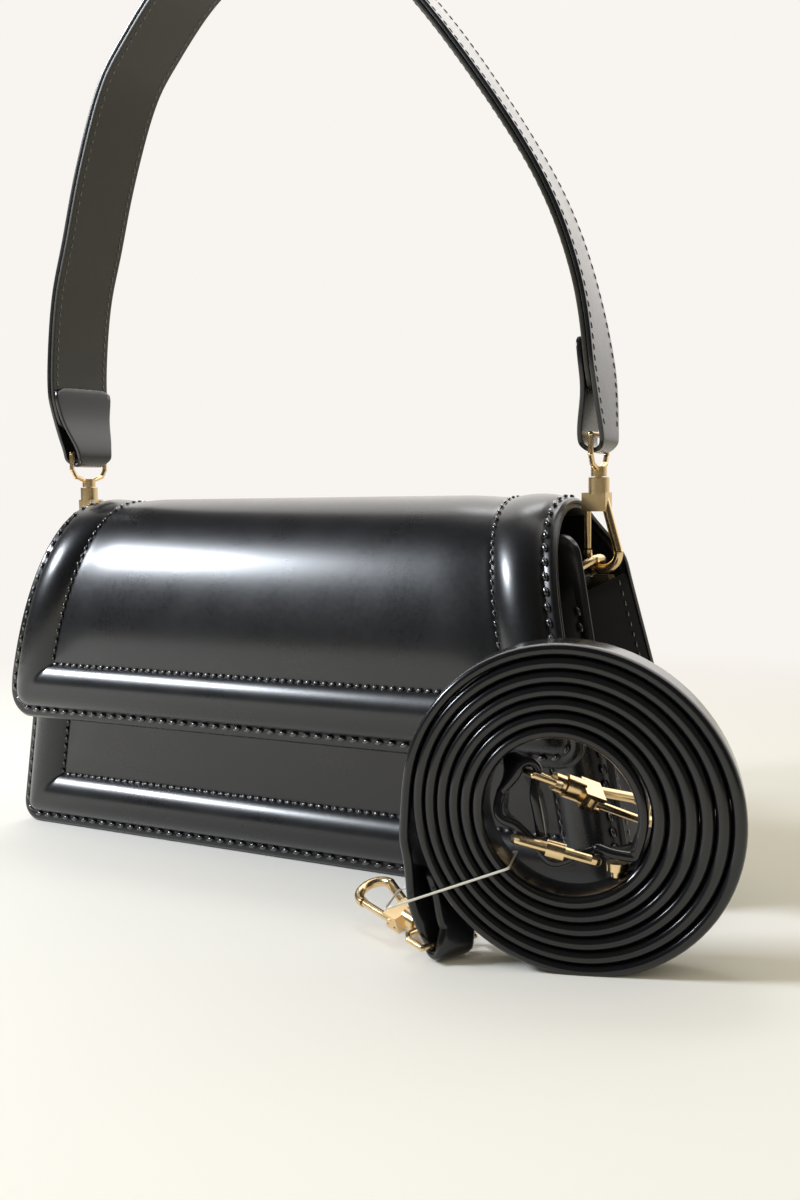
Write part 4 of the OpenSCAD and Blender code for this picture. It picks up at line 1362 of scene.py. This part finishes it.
@dataclass
class CrossbodyStrap:
    """The long strap on its edge: its inner end with slider, the winding and its outer end."""

    shape: CoilShape = CoilShape()
    steps: int = 48

    def __post_init__(self) -> None:
        """Draws the winding in its own frame."""
        c = self.shape
        self.to_world = Matrix.Translation(c.place) @ Matrix.Rotation(math.radians(c.yaw), 4, "Z")
        flat = [self.wind(i / self.steps) for i in range(int(self.steps * c.turns) + 1)]
        coarse = [self.wind(i / 24) for i in range(int(24 * c.turns) + 1)]
        self.rise = c.thick / 2 - c.foot_cut - min(p[1] for p in coarse)
        self.winding = [p + Vector((0, self.rise)) for p in flat]
        self.inner_bar = Vector((-21.5, c.width / 2, 54.5))
        self.inner_way = Vector((0.82, 0.42, -0.38)).normalized()
        self.outer_bar = Vector((-42.5, c.width / 2, 4.8))
        self.outer_way = Vector((-0.73, 0.67, 0.13)).normalized()
        self.slider_mid = Vector((-12.4, c.width / 2, 32.3))
        self.slider_along = Vector((0.976, 0.048, -0.252)).normalized()
        self.slider_deep = Vector((-0.107, 0.963, -0.23)).normalized()

    def wind(self, n: float) -> Vector:
        """Place on the winding after some turns."""
        c = self.shape
        a = c.start_a + 360 * n
        r = (c.start_r + c.step * n) * (1 + c.sag * math.cos(math.radians(2 * (a - c.sag_a))))
        x, z = turned(a, r)
        return Vector((c.shift_x + c.drift * n + x, z))

    def deep(self, p: Sequence[float]) -> Vector:
        """Point of the side view at the middle of the strap's width."""
        return Vector((p[0], self.shape.width / 2, p[1]))

    def round_bar(self, bar: Vector, axis: Vector, way: Vector, start: float, stop: float) -> list[Vector]:
        """Points round an eye's bar between two angles."""
        side = axis.cross(way).normalized()
        points = []
        for k in range(9):
            c, s = turned(mix(start, stop, k / 8), self.shape.round_r)
            points.append(bar + side * c + way * s)
        return points

    def inner_rows(self) -> list[tuple[Vector, Vector, float]]:
        """Places, directions across and widths of the inner end."""
        c = self.shape
        depth = Vector((0, 1, 0))
        axis = level_axis(self.inner_way)
        up = self.slider_along.cross(self.slider_deep)
        out = c.slider_l / 2 - c.slider_d / 2
        clear = c.slider_d / 2 + c.thick / 2 + 0.5
        over = [
            self.slider_mid + self.slider_along * a + up * u
            for a, u in ((-out, clear), (-out / 2, 0), (0, -clear), (out / 2, 0), (out, clear))
        ]
        tail = catmull([Vector(p) for p in ((-15.6, 36.5), (-16.4, 42), (-17.6, 48))], 3)
        head = [self.deep(p) for p in ((-26.2, 50), (-27.3, 45.5), (-26.6, 41.6))]
        start = self.winding[0] - Vector((0.9, 2.4))
        foot = [self.deep(p) for p in ((4, 32.2), (9, 32.6), start)]
        wall = catmull([*head, *over, *foot], 4)
        rows = [(self.deep(p), depth, c.end_w) for p in tail]
        rows += [(p, axis, c.end_w) for p in self.round_bar(self.inner_bar, axis, self.inner_way, 90, 285)]
        for k, point in enumerate(wall):
            share = ease((k - 4) / 8) * ease((len(wall) - 3 - k) / 8)
            across = mix(depth, self.slider_deep, share).normalized()
            rows.append((point, across, mix(c.end_w, c.width, ease(k / 8))))
        return rows

    def outer_rows(self) -> list[tuple[Vector, Vector, float]]:
        """Places, directions across and widths of the outer end."""
        c = self.shape
        depth = Vector((0, 1, 0))
        axis = level_axis(self.outer_way)
        leave = catmull([Vector(p) for p in ((-53.6, 36), (-51.9, 28), (-49.4, 18), (-47, 11.5))], 3)
        tail = catmull([Vector(p) for p in ((-39.8, 9.5), (-42.4, 15), (-45, 20.5), (-47.2, 26.5))], 3)
        rows = []
        for k, point in enumerate(leave):
            share = ease((k - 2) / 7)
            across = mix(depth, axis, share).normalized()
            rows.append((self.deep(point), across, mix(c.width, c.end_w, share)))
        rows += [(p, axis, c.end_w) for p in self.round_bar(self.outer_bar, axis, self.outer_way, 75, 270)]
        for k, point in enumerate(tail):
            rows.append((self.deep(point), mix(axis, depth, ease(k / 7)).normalized(), c.end_w))
        return rows

    def strap_rows(self) -> list[StrapRow]:
        """All rows of the strap, in the world."""
        depth = Vector((0, 1, 0))
        inner = self.inner_rows()
        plain = inner + [(self.deep(p), depth, self.shape.width) for p in self.winding]
        plain += self.outer_rows()
        middles = [m for m, _, _ in plain]
        rows = []
        for i, (middle, across, width) in enumerate(plain):
            t = along(middles, i)
            face = t.cross(across).normalized()
            thick = self.thick_at(i - len(inner))
            rows.append(StrapRow(middle, face.cross(t).normalized(), face, width, thick))
        return rows

    def thick_at(self, i: int) -> float:
        """Thickness of the leather, which nearly fills the gap to the winding's next turn."""
        c = self.shape
        a = c.start_a + 360 * i / self.steps
        pitch = c.step * (1 + c.sag * math.cos(math.radians(2 * (a - c.sag_a)))) + c.drift * turned(a)[0]
        share = ease(i / 16) * ease((len(self.winding) - i) / 16)
        return mix(c.thick, max(c.thick, pitch - 0.2), share)

    def build(self) -> None:
        """Makes the strap and the tie."""
        rows = self.strap_rows()
        bm = strap_mesh(rows, 1.0, 2.1)
        for vert in bm.verts:
            vert.co.z = max(vert.co.z, 0.02)
        bmesh.ops.transform(bm, matrix=self.to_world, verts=bm.verts)
        strap = finished(bm, "coiled_crossbody_strap", Skin(), COIL_CALF)
        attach(strap, "coil")
        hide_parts("crossbody_strap")
        self.tie()
        LOG.info("crossbody strap")

    def tie(self) -> None:
        """Thread that holds some of the turns together."""
        a, b = self.deep((-58.6, 16.2)), self.deep((-24.2, 29.0))
        back = Vector((0, self.shape.width / 2 + 0.9, 0))
        corners = [a - back, b - back, b + back, a + back, a - back]
        path = []
        for start, stop in zip(corners, corners[1:]):
            path += [mix(start, stop, share) for share in (0.02, 0.06, 0.3, 0.5, 0.7, 0.94, 0.98)]
        path.append(path[0])
        bm = wire_mesh(path, lambda _: 0.36, 8)
        bmesh.ops.transform(bm, matrix=self.to_world, verts=bm.verts)
        piece = finished(bm, "coil_tie", Skin(levels=0), PALE_THREAD)
        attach(piece, "coil")
        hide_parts("winding_tie")


# Hardware and carried parts


@dataclass
class Hardware:
    """Finishes of the frame's own nodes, by a word in the node's name."""

    finishes: dict[str, Finish] = field(
        default_factory=lambda: {"board": BOARD, "washer": STEEL, "snap": STEEL}
    )

    def finish_of(self, node: str) -> Finish:
        """The finish that a node's name asks for."""
        for word, finish in self.finishes.items():
            if word in node:
                return finish
        return GOLD

    def build(self, nodes: dict[str, bpy.types.Object]) -> None:
        """Puts a finish on each node that still shows."""
        for name, node in nodes.items():
            material = self.finish_of(name).material()
            if not node.data.materials:
                node.data.materials.append(material)
            for k in range(len(node.data.materials)):
                node.data.materials[k] = material
        LOG.info("hardware")


# Studio


@dataclass(frozen=True)
class Lamp:
    """One soft lamp: its place, the point that it looks at, its size and its power."""

    name: str
    place: tuple[float, float, float]
    target: tuple[float, float, float]
    size: tuple[float, float]
    watts: float
    colour: Colour = (1.0, 1.0, 1.0)


@dataclass
class Studio:
    """Camera, floor, background and lamps.

    The camera's angles are in radians. Fill is the world's light on matt surfaces, room the least
    that polished ones mirror, and ceiling the pale panel that shows along the bag's crest.
    """

    yaw: float = 0.558389
    pitch: float = 0.073025
    roll: float = 0.013162
    eye: tuple[float, float, float] = (0.2992, -0.43125, 0.1297)
    sensor: float = 36.0
    lens: float = 42.0
    cream: Colour = (0.94, 0.905, 0.868)
    warm: Colour = (1.0, 0.92, 0.68)
    fill: float = 0.57
    room: float = 0.045
    ceiling: float = 2.6
    lamps: tuple[Lamp, ...] = (
        Lamp("window", (-1.02, -0.74, 0.84), (0.02, 0, 0.1), (0.36, 0.22), 21.5, (0.86, 0.92, 1.0)),
        Lamp("overhead", (-0.2, 0.35, 1.15), (0.02, 0, 0.1), (0.5, 0.25), 2.0, (0.95, 0.98, 1.0)),
    )

    def camera(self) -> None:
        """Camera with the photograph's viewing angle."""
        level = math.cos(self.pitch)
        forward = Vector((-math.sin(self.yaw) * level, math.cos(self.yaw) * level, -math.sin(self.pitch)))
        right = Vector((math.cos(self.yaw), math.sin(self.yaw), 0))
        down = forward.cross(right)
        right_rolled = right * math.cos(self.roll) + down * math.sin(self.roll)
        down_rolled = down * math.cos(self.roll) - right * math.sin(self.roll)
        data = bpy.data.cameras.new("camera")
        data.sensor_width = self.sensor
        data.lens = self.lens
        camera = bpy.data.objects.new("camera", data)
        bpy.context.scene.collection.objects.link(camera)
        frame = Matrix((right_rolled, -down_rolled, -forward)).transposed().to_4x4()
        frame.translation = Vector(self.eye)
        camera.matrix_world = frame
        bpy.context.scene.camera = camera

    def world(self) -> None:
        """World that is cream to the camera, pale behind the bag in mirrors and warm to the rest."""
        world = bpy.data.worlds.new("studio")
        world.use_nodes = True
        tree = world.node_tree
        back = tree.nodes["Background"]
        path = add_node(tree, "ShaderNodeLightPath", {}, {})
        glossy = Num(tree, path.outputs["Is Glossy Ray"])
        through = Num(tree, path.outputs["Is Transmission Ray"])
        seen = Num(tree, path.outputs["Is Camera Ray"]).largest(through)
        way = add_node(tree, "ShaderNodeTexCoord", {}, {}).outputs["Generated"]
        parts = add_node(tree, "ShaderNodeSeparateXYZ", {}, {0: way})
        behind = Num(tree, parts.outputs[1]) * 1.1 + Num(tree, parts.outputs[0]) * 0.1 + 0.15
        held = Num(tree, add_node(tree, "ShaderNodeClamp", {}, {0: behind}).outputs[0])
        high = Num(tree, parts.outputs[2])
        edge = (Num(tree, parts.outputs[1]) + high * 0.9 - 0.75) * 7.0
        panel = Num(tree, add_node(tree, "ShaderNodeClamp", {}, {0: edge}).outputs[0])
        mirror = held**1.5 * 0.85 + self.room + panel * high * self.ceiling
        strength = seen + glossy * mirror + (1 - seen.largest(glossy)) * self.fill
        shades = {0: seen.largest(glossy), 6: rgba(self.warm), 7: rgba(self.cream)}
        tint = add_node(tree, "ShaderNodeMix", {"data_type": "RGBA"}, shades)
        tree.links.new(tint.outputs[2], back.inputs["Color"])
        tree.links.new(strength.socket, back.inputs["Strength"])
        bpy.context.scene.world = world

    def floor(self) -> None:
        """Pale floor that fades into the background away from the bag."""
        bm = bmesh.new()
        bmesh.ops.create_grid(bm, x_segments=8, y_segments=8, size=6000)
        floor = finished(bm, "floor", Skin(levels=0), Floor())

    def lights(self) -> None:
        """Soft lamps."""
        for lamp in self.lamps:
            data = bpy.data.lights.new(lamp.name, "AREA")
            data.shape = "RECTANGLE"
            data.size, data.size_y = lamp.size
            data.energy = lamp.watts
            data.color = lamp.colour
            made = bpy.data.objects.new(lamp.name, data)
            made.location = lamp.place
            made.rotation_mode = "QUATERNION"
            way = Vector(lamp.target) - Vector(lamp.place)
            made.rotation_quaternion = way.to_track_quat("-Z", "Y")
            bpy.context.scene.collection.objects.link(made)

    def build(self) -> None:
        """Makes the whole studio."""
        self.camera()
        self.world()
        self.floor()
        self.lights()
        bpy.context.scene.view_settings.view_transform = "Standard"


@dataclass
class Floor(Finish):
    """Pale matt floor, which becomes plain cream far from the bag."""

    name: str = "pale_floor"
    paint: Colour = (0.9, 0.885, 0.87)
    near: float = 0.22
    fade: float = 2.2

    def dress(self) -> None:
        """Matt near the bag, for the shadow, and even light further away."""
        self.set(Base_Color=rgba(self.paint), Roughness=0.85, Specular_IOR_Level=0.2)
        place = add_node(self.tree, "ShaderNodeTexCoord", {}, {}).outputs["Object"]
        far = add_node(self.tree, "ShaderNodeVectorMath", {"operation": "LENGTH"}, {0: place})
        clear = ((Num(self.tree, far.outputs["Value"]) - self.near) * self.fade).largest(0.0)
        path = add_node(self.tree, "ShaderNodeLightPath", {}, {})
        seen = Num(self.tree, path.outputs["Is Camera Ray"])
        limited = Num(self.tree, add_node(self.tree, "ShaderNodeClamp", {}, {0: clear * seen}).outputs[0])
        glow = add_node(self.tree, "ShaderNodeEmission", {}, {"Color": rgba(Studio.cream), "Strength": 1.0})
        values = {0: limited, 1: self.shader.outputs[0], 2: glow.outputs[0]}
        blend = add_node(self.tree, "ShaderNodeMixShader", {}, values)
        out = self.tree.nodes["Material Output"]
        self.tree.links.new(blend.outputs[0], out.inputs["Surface"])


def main() -> None:
    """Builds the bag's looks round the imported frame."""
    logging.basicConfig(level=logging.INFO, format="%(name)s: %(message)s")
    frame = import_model()
    Studio().build()
    leather = OuterLeather()
    leather.build()
    Body().build(leather)
    ShoulderStrap().build()
    CrossbodyStrap().build()
    Hardware().build(frame["nodes"])


if __name__ == "__main__":
    main()
